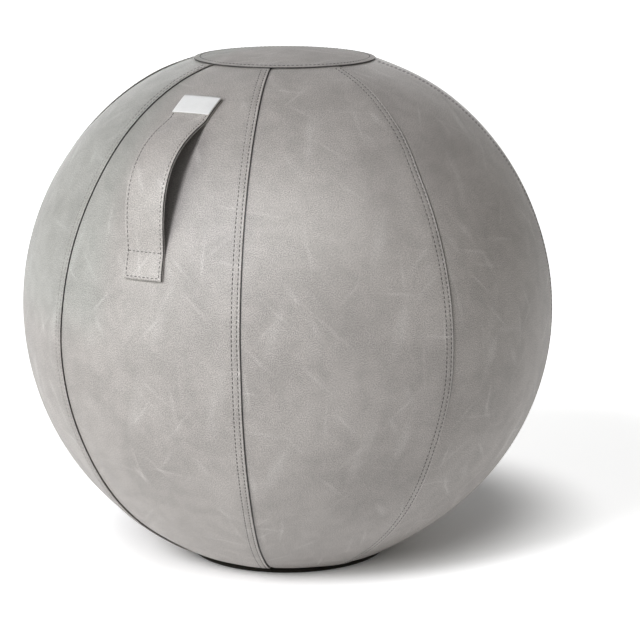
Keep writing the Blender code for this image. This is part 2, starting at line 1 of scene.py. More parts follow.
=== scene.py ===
"""Looks of a sitting ball: sewn leatherette panels, top patch, strap handle, zip, base ring and studio.

Metres, +Z up. The origin lies on the floor under the ball's centre, and the handle faces -Y.
An azimuth is counted from -Y towards +X, and a polar angle from the top of the ball.
"""

import json
import math

import bmesh
import bpy
from bpy.props import FloatProperty, FloatVectorProperty, IntProperty, PointerProperty
from mathutils import Euler, Matrix, Vector, noise


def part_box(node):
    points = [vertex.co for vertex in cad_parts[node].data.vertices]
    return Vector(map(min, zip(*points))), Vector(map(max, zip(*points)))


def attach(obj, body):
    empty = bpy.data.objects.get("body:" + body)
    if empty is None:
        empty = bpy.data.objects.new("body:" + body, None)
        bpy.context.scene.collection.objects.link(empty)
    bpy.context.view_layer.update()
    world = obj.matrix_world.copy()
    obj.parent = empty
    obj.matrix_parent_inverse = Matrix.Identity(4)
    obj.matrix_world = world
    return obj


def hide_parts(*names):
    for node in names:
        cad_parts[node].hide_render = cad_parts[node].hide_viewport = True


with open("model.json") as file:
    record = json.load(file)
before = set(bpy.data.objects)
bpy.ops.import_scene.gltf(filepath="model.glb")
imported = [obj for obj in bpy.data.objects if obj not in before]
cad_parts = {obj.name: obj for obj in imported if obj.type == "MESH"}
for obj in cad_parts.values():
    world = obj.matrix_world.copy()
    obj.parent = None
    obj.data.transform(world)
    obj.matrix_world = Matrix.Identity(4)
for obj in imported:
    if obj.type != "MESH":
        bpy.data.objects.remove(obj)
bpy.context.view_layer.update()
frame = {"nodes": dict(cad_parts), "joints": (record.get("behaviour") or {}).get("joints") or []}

bl_info = {
    "name": "Sitting Ball Looks",
    "version": (1, 0, 0),
    "blender": (4, 5, 0),
    "location": "View3D > Sidebar > Sitting Ball",
    "description": "Dresses a sitting ball: panels, seams, patch, handle, zip, base ring and studio",
    "category": "Object",
}

# Sizes read from the frame
JOINTS = {joint["name"]: joint for joint in frame["joints"]}
CENTRE = Vector(JOINTS["zip_slide"]["pos_m"])
ZIP_AZIMUTH = math.atan2(JOINTS["zip_slide"]["axis"][1], JOINTS["zip_slide"]["axis"][0])
SKIN = 0.0012
PATCH_LOW, PATCH_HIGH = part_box("top_patch")
PATCH_RADIUS = PATCH_HIGH.x
PATCH_RIM = PATCH_LOW.z + SKIN - CENTRE.z
PATCH_RISE = PATCH_HIGH.z - CENTRE.z - PATCH_RIM
BASE_LOW, BASE_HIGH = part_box("base_panel")
BASE_RADIUS = BASE_HIGH.x
BASE_RIM = BASE_HIGH.z - SKIN - CENTRE.z
BASE_BULGE = BASE_RIM - (BASE_LOW.z - CENTRE.z)
RING_SPREAD = 0.003
RING_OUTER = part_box("base_ring_cover")[1].x + RING_SPREAD

# Lapped seams
GAP = 0.0003
HEM_THICKNESS = 0.0017
RIM_MARGIN = 0.002
RIM_LAP = 0.010
RIM_RAISE = 0.0004
RIM_TAPER = math.radians(8)
FLATTEN_END = math.radians(36)
SHOULDER_ANGLE = math.radians(44)
SHOULDER_SPREAD = math.radians(16)
HANDLE_PANEL = 0
EQUATOR_SPREAD = math.radians(28)
LAP_WIDTH = 0.010
LAP_RISE = 0.008
EDGE_ROUND = 0.0006
EDGE_DROP = 0.0005
STITCH_ROWS = (0.0032, 0.0094)
STITCH_VALLEY = 0.0002
VALLEY_WIDTH = 0.0010
HEM_PUFF = 0.00015
HEM_FLAT = 0.008
HEM_SPREAD = 0.045
LIP_PLACE = 0.0012
LIP_WIDTH = 0.0014
LIP_RISE = 0.0003
# Painted shade: width of the dark paint in the groove beside a seam, where it fades out, and the share
# painted on a hem's edge wall
GROOVE_WIDTH = 0.0011
GROOVE_FADE = (0.5, 1.6)
EDGE_SHADE = 0.1
# Painted highlight with pale rubbing along a hem's fold: its place and width
FOLD_WEAR_AND_HIGHLIGHT = 0.0007
SEAM_MARGIN = 0.006
STITCH_FLATNESS = 0.8
SEAM_THREAD_LIFT = 0.00005
PATCH_THREAD_LIFT = 0.0001
STRAP_THREAD_LIFT = 0.0001
ZIP_THREAD_LIFT = 0.0003

# The soft cover has settled a little on its far right shoulder
SETTLE = 0.0022
SETTLE_POLAR = math.radians(25)
SETTLE_SPREAD = math.radians(10)
SETTLE_AZIMUTH = math.radians(135)
SETTLE_TURN = math.radians(60)

# Seams that wander from their meridians: polar angles in degrees that a drift grows between, and its size
SEAM_DRIFTS = {
    7: ((10, 20, 0.0027), (26, 40, -0.0015), (40, 62, 0.004), (80, 94, -0.0025), (112, 150, -0.0175)),
    0: ((84, 94, 0.0008), (118, 150, -0.003)),
    1: ((20, 34, 0.0035), (42, 56, -0.005), (94, 116, -0.0065)),
}

# Shares of the full painted groove shade beside a seam's upper and lower half, and of the full pale rubbing
# and painted highlight on its fold
SEAM_LOOKS = {7: (0.25, 0.25, 0.15), 1: (1.8, 1.0, 1.0)}
PLAIN_LOOK = (1.0, 1.0, 1.0)
LOWER_HALF = (math.radians(95), math.radians(115))

# Its weight makes it bulge over the base ring before it tucks in, counted from the foot's pole
FOOT_SAG = 0.0027
FOOT_SAG_ANGLE = math.radians(22.5)
FOOT_SAG_SPREAD = math.radians(6.5)
FOOT_TUCK = math.radians(23.5)

# Zip seam
PANEL_DEGREES = 45
ZIP_PANEL = round(math.degrees(ZIP_AZIMUTH) % 360 / PANEL_DEGREES - 0.5)
ZIP_TOP = math.radians(90)
ZIP_BOTTOM = math.radians(148)
ZIP_TAPER = math.radians(6.72)
ZIP_EDGE = 0.005
ZIP_HEM = 0.0004
ZIP_HEM_FADE = (0.003, 0.006)
ZIP_PRESS = 0.45
ZIP_ACROSS = Vector((math.cos(ZIP_AZIMUTH), math.sin(ZIP_AZIMUTH), 0.0))
TAPE_DEPTH = 0.0030
TAPE_THICKNESS = 0.0006
TAPE_EDGE = 0.012
TAPE_TAIL = math.radians(2.8)
CHAIN_SLIT = 0.0018
TOOTH_PITCH = 0.0016
TOOTH_LENGTH = 0.0021
TOOTH_WIDTH = 0.0011
TOOTH_HEIGHT = 0.0018
TOOTH_OVERLAP = 0.0002
STOP_LENGTH = 0.003

# Handle, along the middle of the front panel
HANDLE_TOP = math.radians(33.7)
LABEL_BOTTOM = math.radians(38.9)
FREE_TOP = math.radians(40.4)
FREE_BOTTOM = math.radians(69.5)
HANDLE_BOTTOM = math.radians(75.0)
HANDLE_MIDDLE = math.radians(53.0)
BOW_FULLNESS = 1.15
LOWER_SKEW = 0.0045
UPPER_SKEW = 0.002
WAIST = 0.003
WAIST_SPREAD = math.radians(12)
STRAP_LAYER = 0.002
STRAP_ROUNDING = 0.3
BACKING_EDGE = 0.0008
STRAP_STITCH = 0.003
LABEL_THICKNESS = 0.0005
LABEL_INSET = 0.0005

# Base ring, inner ball, and colours of small pieces
RING_WIDTH = 0.0267 + RING_SPREAD
RING_HEIGHT = 0.007
RING_BULGE = 0.0045
RING_SHOULDER = 0.0078
RING_BELLY = 0.0032
RING_SKIN = 0.001
BALL_WALL = 0.0016
BALL_CLEARANCE = 0.00525
VALVE_HOLE = 0.008
FOAM_COLOUR = (0.3, 0.3, 0.3)
VALVE_COLOUR = (0.75, 0.75, 0.73)
TOOTH_COLOUR = (0.07, 0.069, 0.067)

# Facets, and how strongly columns crowd towards a valley or a hem
VALLEY_CROWDING = 1.5
HEM_CROWDING = 1.6
PANEL_ROWS = 150
FOOT_ROWS = 16
FOOT_MARGIN = math.radians(3)
LAP_ROWS = 5
LAP_COLUMNS = 4
VALLEY_COLUMNS = 10
MIDDLE_COLUMNS = 26
HEM_COLUMNS = 24
HEM_REACH = 0.022
VALLEY_REACH = 0.012
PANEL_SHIFT = 0.9
TURN_STEPS = 160
CAP_STEPS = 8
BALL_ROWS = 60
TAPE_COLUMNS = 10
TAPE_ROWS = 120
RING_STEPS = 10
MERGE_DISTANCE = 0.000001

# Heights of the patch and the zip's tapes on the flat cloth, where each panel has its own number
PATCH_CLOTH = 5.0
TAPE_CLOTH = 7.0


def smooth(value, low, high):
    """0 below low, 1 above high, and an easy curve between them."""
    share = min(1.0, max(0.0, (value - low) / (high - low)))
    return share * share * (3 - 2 * share)


def bump(value, middle, width):
    """A bell of height 1 about a middle."""
    return math.exp(-(((value - middle) / width) ** 2))


def edge_share(inward):
    """1 at the very edge of a sheet, and 0 once past its rounding."""
    return max(0.0, 1 - inward / EDGE_ROUND) ** 2


def spaced(start, end, count):
    """Evenly spaced values, both ends included."""
    return [start + (end - start) * i / count for i in range(count + 1)]


def point_at(radius, polar, azimuth):
    """A point in the frame, from its distance to the ball's centre and its two angles."""
    level = radius * math.sin(polar)
    place = Vector((level * math.sin(azimuth), -level * math.cos(azimuth), radius * math.cos(polar)))
    return CENTRE + place


def settled(spot):
    """A point of the cover, let down towards the centre where the soft shoulder has settled."""
    out = spot - CENTRE
    turn = math.remainder(math.atan2(out.x, -out.y) - SETTLE_AZIMUTH, 2 * math.pi)
    polar = math.atan2(math.hypot(out.x, out.y), out.z)
    share = bump(polar, SETTLE_POLAR, SETTLE_SPREAD) * bump(turn, 0.0, SETTLE_TURN)
    return spot - out.normalized() * SETTLE * share


def seam_drift(seam, polar):
    """How far a seam runs to the right of its meridian."""
    steps = SEAM_DRIFTS.get(seam, ())
    return sum(size * smooth(math.degrees(polar), start, end) for start, end, size in steps)


def groove_width(seam, polar):
    """Width of the painted shade in the groove beside a seam."""
    upper, lower, _ = SEAM_LOOKS.get(seam, PLAIN_LOOK)
    return GROOVE_WIDTH * (upper + (lower - upper) * smooth(polar, *LOWER_HALF))


def patch_outer(radius):
    """Height of the top patch's outer face over the ball's centre, without its hem."""
    return PATCH_RIM + PATCH_RISE * (1 - (radius / PATCH_RADIUS) ** 2)


def base_outer(radius):
    """Height of the base panel's lower face over the ball's centre."""
    return BASE_RIM - BASE_BULGE * (1 - (radius / BASE_RADIUS) ** 2)


def panel_top(radius):
    """Height of a panel where it lies under the top patch."""
    return patch_outer(radius) - SKIN - GAP - RIM_RAISE


def panel_foot(radius):
    """Height of a panel where it lies over the base panel."""
    return base_outer(radius) + SKIN + GAP + RIM_RAISE


TOP_RIM = (PATCH_RADIUS + RIM_MARGIN, panel_top(PATCH_RADIUS + RIM_MARGIN))
FOOT_RIM = (BASE_RADIUS + RIM_MARGIN, panel_foot(BASE_RADIUS + RIM_MARGIN))
TOP_RIM_ANGLE = math.atan2(*TOP_RIM)
FOOT_RIM_ANGLE = math.atan2(*FOOT_RIM)


def pole_angle(polar):
    """Angle from the nearer pole, and the rim angle and rim point at that pole."""
    if polar < math.pi / 2:
        return polar, TOP_RIM_ANGLE, TOP_RIM
    return math.pi - polar, math.pi - FOOT_RIM_ANGLE, FOOT_RIM


def rim_share(polar):
    """0 where a rim presses a panel down, and 1 once clear of it."""
    from_pole, rim_angle, _ = pole_angle(polar)
    return min(1.0, max(0.0, (from_pole - rim_angle) / RIM_TAPER))


def zip_share(polar):
    """0 where the zip seam is sewn shut, and 1 where the zip holds its edges apart."""
    opening = smooth(polar, ZIP_TOP - ZIP_TAPER, ZIP_TOP)
    return opening * (1 - smooth(polar, ZIP_BOTTOM, ZIP_BOTTOM + ZIP_TAPER))


class CoverForm:
    """Where the cover's outer face lies, worked out from the settings."""

    def __init__(self, cover):
        self.radius = cover.ball_radius
        self.angle = 2 * math.pi / cover.panel_count
        self.shoulder = cover.shoulder_crown
        self.hollow = cover.equator_hollow
        self.hem_width = cover.hem_width
        self.raised = cover.hem_raise

    def seam_radius(self, polar):
        """Distance of the cover from the ball's centre along a seam, flattened to the rims."""
        from_pole, rim_angle, rim = pole_angle(polar)
        bend = FLATTEN_END if polar < math.pi / 2 else FOOT_TUCK
        share = max(0.0, (bend - from_pole) / (bend - rim_angle))
        full = self.radius + FOOT_SAG * bump(math.pi - polar, FOOT_SAG_ANGLE, FOOT_SAG_SPREAD)
        return full - share ** 2 * (full - math.hypot(*rim))

    def crown(self, polar, across, index):
        """Swell of a panel between its seams, for a place across it from -0.5 to 0.5."""
        drawn = self.shoulder if index == HANDLE_PANEL else 0.0
        shoulder = drawn * bump(polar, SHOULDER_ANGLE, SHOULDER_SPREAD)
        hollow = self.hollow * bump(polar, math.pi / 2, EQUATOR_SPREAD)
        return rim_share(polar) * (shoulder - hollow) * (1 - (2 * across) ** 2) ** 2

    def hem_raise(self, polar):
        """How far a hem stands out, less where the rims press it down."""
        return RIM_RAISE + rim_share(polar) * (self.raised - RIM_RAISE)

    def lap_depth(self, polar):
        """Height of a lapped edge, just under the hem that covers it."""
        return self.hem_raise(polar) - HEM_THICKNESS - GAP

    def hem_height(self, polar, inward, opened):
        """Height of a hem at a distance inward from its fold: puffed between stitches, lower at the zip."""
        full = self.hem_raise(polar) * (1 - ZIP_PRESS * opened)
        height = full * (1 - smooth(inward, HEM_FLAT, HEM_SPREAD))
        soft = rim_share(polar) * (1 - opened)
        height += soft * LIP_RISE * bump(inward, LIP_PLACE, LIP_WIDTH)
        height -= soft * STITCH_VALLEY * sum(bump(inward, row, VALLEY_WIDTH) for row in STITCH_ROWS)
        height += soft * HEM_PUFF * bump(inward, sum(STITCH_ROWS) / 2, 2 * VALLEY_WIDTH)
        return height - EDGE_DROP * edge_share(inward)

    def seam_point(self, seam, polar, inward, lift):
        """A point on the hem beside a seam, at a distance inward from the fold."""
        azimuth = (seam + 0.5) * self.angle
        radius = self.seam_radius(polar)
        opened = zip_share(polar) if seam == ZIP_PANEL else 0.0
        aside = seam_drift(seam, polar) - inward - ZIP_EDGE * opened
        azimuth += aside / (radius * math.sin(polar))
        return settled(point_at(radius + self.hem_height(polar, inward, opened) + lift, polar, azimuth))


def meridian_rows(form):
    """Rows of a panel from under the top patch to over the base panel, as polar angle and radius."""
    upper = [PATCH_RADIUS - RIM_LAP + (RIM_LAP + RIM_MARGIN) * i / LAP_ROWS for i in range(LAP_ROWS)]
    lower = [BASE_RADIUS + RIM_MARGIN - (RIM_LAP + RIM_MARGIN) * i / LAP_ROWS for i in range(LAP_ROWS + 1)]
    rows = [(math.atan2(r, panel_top(r)), math.hypot(r, panel_top(r))) for r in upper]
    foot_start = math.pi - FOOT_TUCK - FOOT_MARGIN
    sides = spaced(TOP_RIM_ANGLE, foot_start, PANEL_ROWS)[:-1]
    sides += spaced(foot_start, FOOT_RIM_ANGLE, FOOT_ROWS)[:-1]
    rows += [(polar, form.seam_radius(polar)) for polar in sides]
    rows += [(math.atan2(r, panel_foot(r)), math.hypot(r, panel_foot(r))) for r in lower]
    return rows


def mapped_grid(name, columns, rows, place):
    """A grid whose vertices go where place(column, row) says; it also gives each vertex's attributes."""
    grid = bmesh.new()
    bmesh.ops.create_grid(grid, x_segments=columns, y_segments=rows, size=0.5)
    grid.verts.ensure_lookup_table()
    cloth = []
    groove = []
    for vertex in grid.verts:
        column = round((vertex.co.x + 0.5) * columns)
        row = round((vertex.co.y + 0.5) * rows)
        vertex.co, flat, dark = place(column, row)
        cloth.extend(flat)
        groove.append(dark)
    bmesh.ops.recalc_face_normals(grid, faces=grid.faces)
    facing = sum(face.normal.dot(face.calc_center_median() - CENTRE) for face in grid.faces)
    if facing < 0:
        bmesh.ops.reverse_faces(grid, faces=grid.faces)
    mesh = ended_mesh(name, grid)
    set_attributes(mesh, cloth, groove)
    return mesh


def ended_mesh(name, shape):
    """The smooth mesh of a bmesh, which is freed."""
    mesh = bpy.data.meshes.new(name)
    shape.to_mesh(mesh)
    shape.free()
    mesh.shade_smooth()
    return mesh


def set_attributes(mesh, cloth, groove):
    """Store each vertex's place on the flat cloth, and its groove: 1 is painted shade, below 0 is pale
    rubbing with a painted highlight.
    """
    flat = mesh.attributes.new("cloth", "FLOAT_VECTOR", "POINT")
    flat.data.foreach_set("vector", cloth)
    dark = mesh.attributes.new("groove", "FLOAT", "POINT")
    dark.data.foreach_set("value", groove)


def add_piece(mesh, material, node=None):
    """Put a piece of the ball into the scene, with its finish and the node that it stands for, if any."""
    mesh.materials.append(material)
    piece = bpy.data.objects.new(mesh.name, mesh)
    bpy.context.scene.collection.objects.link(piece)
    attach(piece, "ball")
    if node:
        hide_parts(node)
    return piece


def add_wall(piece, thickness, group=None, share=1.0):
    """Give a sheet its thickness, inwards from its outer face."""
    wall = piece.modifiers.new("wall", "SOLIDIFY")
    wall.thickness = thickness
    wall.offset = -1.0
    wall.use_quality_normals = True
    if group:
        wall.vertex_group = group
        wall.thickness_vertex_group = share


def bead_mesh():
    """The round bead, of radius 1, that every stitch and zip tooth is a stretched copy of."""
    mesh = bpy.data.meshes.get("bead")
    if mesh is None:
        ball = bmesh.new()
        bmesh.ops.create_uvsphere(ball, u_segments=6, v_segments=4, radius=1.0)
        mesh = ended_mesh("bead", ball)
    return mesh


def add_stitch(thread, start, end, up, width, height):
    """One stitch: a slim bead from start to end that sinks into the cloth at both ends."""
    along = end - start
    side = along.cross(up).normalized()
    rise = side.cross(along).normalized()
    axes = Matrix((rise * height / 2, side * width / 2, along / 2)).transposed().to_4x4()
    bead = bead_mesh().copy()
    bead.transform(Matrix.Translation((start + end) / 2) @ axes)
    thread.from_mesh(bead)
    bpy.data.meshes.remove(bead)


def sew(thread, route, length, settings):
    """Stitches of one pitch along a route(distance), which gives a point and its outward direction."""
    count = max(1, round(length / settings.stitch_pitch))
    pitch = length / count
    reach = settings.stitch_length / settings.stitch_pitch * pitch
    for i in range(count):
        middle = (i + 0.5) * pitch
        start, _ = route(middle - reach / 2)
        end, up = route(middle + reach / 2)
        add_stitch(thread, start, end, up, settings.stitch_width, STITCH_FLATNESS * settings.stitch_width)


def thread_piece(name, thread, material):
    """Make one piece of all the stitches that were added to a bmesh."""
    bmesh.ops.recalc_face_normals(thread, faces=thread.faces)
    return add_piece(ended_mesh(name, thread), material)


def turned_mesh(name, profile, steps):
    """A mesh turned about the ball's upright axis from (radius, height over the floor) points."""
    turning = bmesh.new()
    path = [turning.verts.new((radius, 0.0, height)) for radius, height in profile]
    edges = [turning.edges.new(pair) for pair in zip(path, path[1:])]
    bmesh.ops.spin(
        turning, geom=path + edges, cent=(0, 0, 0), axis=(0, 0, 1), angle=2 * math.pi,
        steps=steps, use_merge=True,
    )
    bmesh.ops.remove_doubles(turning, verts=turning.verts, dist=MERGE_DISTANCE)
    bmesh.ops.recalc_face_normals(turning, faces=turning.faces)
    return ended_mesh(name, turning)


def closed_profile(points):
    """A profile that ends where it starts, so that its turned mesh is a closed ring."""
    return list(points) + [points[0]]


def arc(centre, radii, start, end, steps):
    """Points on an elliptic arc in a (radius, height) plane."""
    angles = spaced(start, end, steps)
    return [(centre[0] + radii[0] * math.cos(a), centre[1] + radii[1] * math.sin(a)) for a in angles]


class Value:
    """A shader socket that takes part in Python expressions."""

    def __init__(self, finish, socket):
        self.finish = finish
        self.socket = socket

    def other(self, output):
        """Another output of the node that this value comes from."""
        return Value(self.finish, self.socket.node.outputs[output])

    def maths(self, operation, first, second):
        """A Math node on two values or numbers."""
        inputs = {0: first, 1: second}
        return self.finish.node("ShaderNodeMath", {"operation": operation}, inputs)

    def __add__(self, other):
        return self.maths("ADD", self, other)

    __radd__ = __add__

    def __sub__(self, other):
        return self.maths("SUBTRACT", self, other)

    def __rsub__(self, other):
        return self.maths("SUBTRACT", other, self)

    def __mul__(self, other):
        return self.maths("MULTIPLY", self, other)

    __rmul__ = __mul__


class Finish:
    """A material and the nodes that make up its look."""

    def __init__(self, name, tree=None):
        if tree is None:
            self.material = bpy.data.materials.new(name)
            self.material.use_nodes = True
            tree = self.material.node_tree
        self.tree = tree
        self.shader = tree.nodes.get("Principled BSDF")

    def node(self, kind, settings=None, inputs=None, output=0):
        """Add a node: its settings first, then the values or links of its sockets."""
        made = self.tree.nodes.new(kind)
        for key, value in (settings or {}).items():
            setattr(made, key, value)
        for key, value in (inputs or {}).items():
            self.feed(made.inputs[key], value)
        return Value(self, made.outputs[output])

    def feed(self, socket, value):
        """Link a value to a socket, or set a plain number or colour on it."""
        if isinstance(value, Value):
            self.tree.links.new(value.socket, socket)
        else:
            socket.default_value = value

    def set(self, **sockets):
        """Set the shader's own sockets, named with underscores for spaces."""
        for key, value in sockets.items():
            self.feed(self.shader.inputs[key.replace("_", " ")], value)

    def place(self):
        """Object coordinates."""
        return self.node("ShaderNodeTexCoord", output="Object")

    def attribute(self, name, output):
        """One of the mesh's own attributes."""
        return self.node("ShaderNodeAttribute", {"attribute_name": name}, output=output)

    def scaled(self, vector, scale, turn=(0.0, 0.0, 0.0), shift=(0.0, 0.0, 0.0)):
        """A vector turned, then stretched along its own axes."""
        inputs = {"Vector": vector, "Rotation": turn, "Location": shift}
        turned = self.node("ShaderNodeMapping", {"vector_type": "POINT"}, inputs)
        return self.node("ShaderNodeVectorMath", {"operation": "MULTIPLY"}, {0: turned, 1: scale})

    def noise(self, vector, scale, detail=2.0, roughness=0.5, distortion=0.0):
        """Soft noise between 0 and 1."""
        inputs = {
            "Vector": vector, "Scale": scale, "Detail": detail, "Roughness": roughness,
            "Distortion": distortion,
        }
        return self.node("ShaderNodeTexNoise", None, inputs, "Fac")

    def cells(self, vector, scale):
        """Distance to the nearest cell's middle, as in pebbled grain."""
        return self.node("ShaderNodeTexVoronoi", None, {"Vector": vector, "Scale": scale}, "Distance")

    def ramp(self, value, low, high, start=0.0, end=1.0):
        """A value eased from start to end between two limits."""
        settings = {"interpolation_type": "SMOOTHSTEP"}
        inputs = {"Value": value, "From Min": low, "From Max": high, "To Min": start, "To Max": end}
        return self.node("ShaderNodeMapRange", settings, inputs)

    def mix(self, share, first, second, blend="MIX"):
        """Two colours mixed by a share."""
        settings = {"data_type": "RGBA", "blend_type": blend}
        return self.node("ShaderNodeMix", settings, {0: share, 6: first, 7: second}, 2)

    def grey(self, value):
        """A colour with one value in all its channels."""
        return self.node("ShaderNodeCombineColor", None, {0: value, 1: value, 2: value})

    def relief(self, height, distance, strength=1.0):
        """A bump from a height between 0 and 1 that stands for a real distance."""
        inputs = {"Height": height, "Distance": distance, "Strength": strength}
        return self.node("ShaderNodeBump", None, inputs)


def rgba(colour, shade=1.0):
    """A colour made darker or lighter, with full alpha."""
    return tuple(min(1.0, shade * c) for c in colour) + (1.0,)


# Turn, length and width of the cells that hold one rub each, and the share of them that do
RUBS = (
    (0.08, 0.17, 0.015, 0.22),
    (0.82, 0.15, 0.014, 0.18),
    (-0.75, 0.15, 0.014, 0.18),
    (1.42, 0.18, 0.015, 0.15),
    (-0.3, 0.24, 0.05, 0.45),
    (0.5, 0.1, 0.03, 0.3),
)
RUB_REACH = 0.24
RUB_WOBBLE = 0.007

# Marks of the leatherette per metre, limits of its tone, and strength and depth of its grain
CLOUD_SCALE = 10.0
MOTTLE_SCALE = 42.0
DRIFT_SCALE = 30.0
GRAIN_SCALE = 850.0
PEBBLE_SCALE = 700.0
TONE_LIMITS = (0.3, 0.7)
GRAIN_RANGE = (0.65, 1.35)
GRAIN_DEPTH = 0.00035

# How much painted shade darkens the top, how much duller the top is where people sit, and where both start
# about the patch's rim
TOP_PAINTED_SHADE = 0.02
SAT_DULL = 0.2
TOP_EDGE = (-0.003, 0.001)

# Painted cooler light on the left, and painted shade on the shoulder beside the handle's upper end: limits
# along X and Z, and colour
COOL_LIGHT_ASIDE = (-0.03, -0.08)
COOL_LIGHT_HEIGHT = (0.3, 0.36)
PAINTED_COOL_LIGHT = (0.965, 1.02, 1.01, 1.0)
SHOULDER_SHADE_ASIDE = (0.03, -0.08)
SHOULDER_SHADE_HEIGHT = (0.5, 0.57)
PAINTED_SHOULDER_SHADE = (0.82, 0.82, 0.82, 1.0)


def rubs(finish, cloth, turn, length, width, share):
    """Pale scuffs: one long, soft and uneven mark in a share of the cells of a stretched lattice."""
    stretch = (1 / width, 1 / length, 0.0)
    stretched = finish.scaled(cloth, stretch, (0.0, 0.0, turn), (turn, 2 * turn, 0.0))
    flat = {"voronoi_dimensions": "2D"}
    cell = finish.node("ShaderNodeTexVoronoi", flat, {"Vector": stretched, "Scale": 1.0})
    draw = finish.node("ShaderNodeSeparateColor", None, {0: cell.other("Color")})
    streaks = finish.noise(stretched, 5.0, detail=3.0, roughness=0.65)
    brushed = finish.ramp(streaks, 0.35, 0.65, 0.25, 1.0)
    return finish.ramp(draw, 1.0 - share, 1.06 - share) * finish.ramp(cell, RUB_REACH, 0.0) * brushed


def scuffed(finish, cloth):
    """Every kind of rub together, on cloth whose coordinates are bent a little."""
    drift = finish.noise(cloth, DRIFT_SCALE).other("Color")
    wobble = {0: drift, 1: (RUB_WOBBLE, RUB_WOBBLE, 0.0), 2: cloth}
    bent = finish.node("ShaderNodeVectorMath", {"operation": "MULTIPLY_ADD"}, wobble)
    return 0.5 * sum(rubs(finish, bent, *rub) for rub in RUBS)


def leatherette(name, cover, lightness=1.0):
    """Worn grey leatherette: clouds, scuffs, fine grain and a dull top; painted shade on the top, on the
    left shoulder and in the grooves; painted cooler light on the left side; pale rubbing with painted
    highlights on folds.
    """
    finish = Finish(name)
    cloth = finish.attribute("cloth", "Vector")
    cloud = finish.noise(cloth, CLOUD_SCALE, detail=3.0, roughness=0.55, distortion=0.4)
    mottle = finish.noise(cloth, MOTTLE_SCALE, detail=4.0, roughness=0.68, distortion=0.3)
    speckle = finish.noise(cloth, GRAIN_SCALE, detail=2.0, roughness=0.6)
    tone = finish.ramp(0.55 * cloud + 0.45 * mottle, *TONE_LIMITS)
    colour = finish.mix(tone, rgba(cover.leather_dark), rgba(cover.leather_colour))
    scuffs = scuffed(finish, cloth)
    groove = finish.attribute("groove", "Fac")
    # Pale rubbing with a painted highlight along the folds
    pale_wear_and_highlight = finish.ramp(groove, 0.0, -1.0) * finish.ramp(mottle, 0.3, 0.6, 0.35, 0.8)
    colour = finish.mix(scuffs + pale_wear_and_highlight, colour, rgba(cover.leather_pale))
    grain = finish.ramp(speckle, *TONE_LIMITS, *(lightness * share for share in GRAIN_RANGE))
    colour = finish.mix(1.0, colour, finish.grey(grain), "MULTIPLY")
    spot = finish.node("ShaderNodeSeparateXYZ", None, {0: finish.place()})
    height = spot.other("Z")
    top_share = finish.ramp(height, *(PATCH_LOW.z + edge for edge in TOP_EDGE))
    # Painted cooler light on the left side
    painted_cool_light = finish.ramp(spot, *COOL_LIGHT_ASIDE) * finish.ramp(height, *COOL_LIGHT_HEIGHT)
    colour = finish.mix(painted_cool_light, colour, PAINTED_COOL_LIGHT, "MULTIPLY")
    # Painted shade on the left shoulder beside the handle's upper end, kept off the top
    painted_shoulder_shade = finish.ramp(spot, *SHOULDER_SHADE_ASIDE) * finish.ramp(height, *SHOULDER_SHADE_HEIGHT) * (1.0 - top_share)
    colour = finish.mix(painted_shoulder_shade, colour, PAINTED_SHOULDER_SHADE, "MULTIPLY")
    # Painted shade that darkens the top
    colour = finish.mix(TOP_PAINTED_SHADE * top_share, colour, rgba(cover.painted_shade_colour))
    # Painted shade in the seams' grooves, on the hems' edge walls and under the patch's rim
    colour = finish.mix(finish.ramp(groove, 0.0, 1.0), colour, rgba(cover.painted_shade_colour))
    relief = 0.6 * finish.cells(cloth, PEBBLE_SCALE) + 0.4 * speckle
    finish.set(
        Base_Color=colour,
        Roughness=finish.ramp(0.6 * mottle + 0.4 * scuffs, 0.2, 0.8, 0.5, 0.4) + SAT_DULL * top_share,
        Normal=finish.relief(relief, GRAIN_DEPTH, 0.5),
        Specular_IOR_Level=0.6,
    )
    return finish.material


def woven(name, colour, pitch, roughness=0.85, shine=0.12):
    """Plain woven cloth: three crossing waves give the weave, and noise makes its threads uneven."""
    finish = Finish(name)
    place = finish.place()
    scale = 2 * math.pi / pitch
    inputs = {"Vector": place, "Scale": scale / 20, "Distortion": 0.4}
    waves = [finish.node("ShaderNodeTexWave", {"bands_direction": axis}, inputs, "Fac") for axis in "XYZ"]
    weave = sum(waves) * (1 / len(waves))
    uneven = finish.noise(place, 60.0, detail=3.0, roughness=0.6)
    tone = finish.ramp(0.6 * weave + 0.4 * uneven, 0.25, 0.75)
    finish.set(
        Base_Color=finish.mix(tone, rgba(colour, 0.87), rgba(colour, 1.07)),
        Roughness=finish.ramp(uneven, 0.2, 0.8, roughness - 0.06, roughness + 0.08),
        Normal=finish.relief(weave, 0.0003, 0.7),
        Specular_IOR_Level=shine,
    )
    return finish.material


def moulded(name, colour, roughness=0.5):
    """Moulded plastic: a nearly even colour with a fine matte texture."""
    finish = Finish(name)
    place = finish.place()
    uneven = finish.noise(place, 35.0, detail=3.0, roughness=0.6)
    fine = finish.noise(place, 900.0, detail=2.0, roughness=0.5)
    finish.set(
        Base_Color=finish.mix(uneven, rgba(colour, 0.9), rgba(colour, 1.1)),
        Roughness=finish.ramp(uneven, 0.3, 0.7, roughness - 0.05, roughness + 0.07),
        Normal=finish.relief(fine, 0.0001, 0.4),
    )
    return finish.material


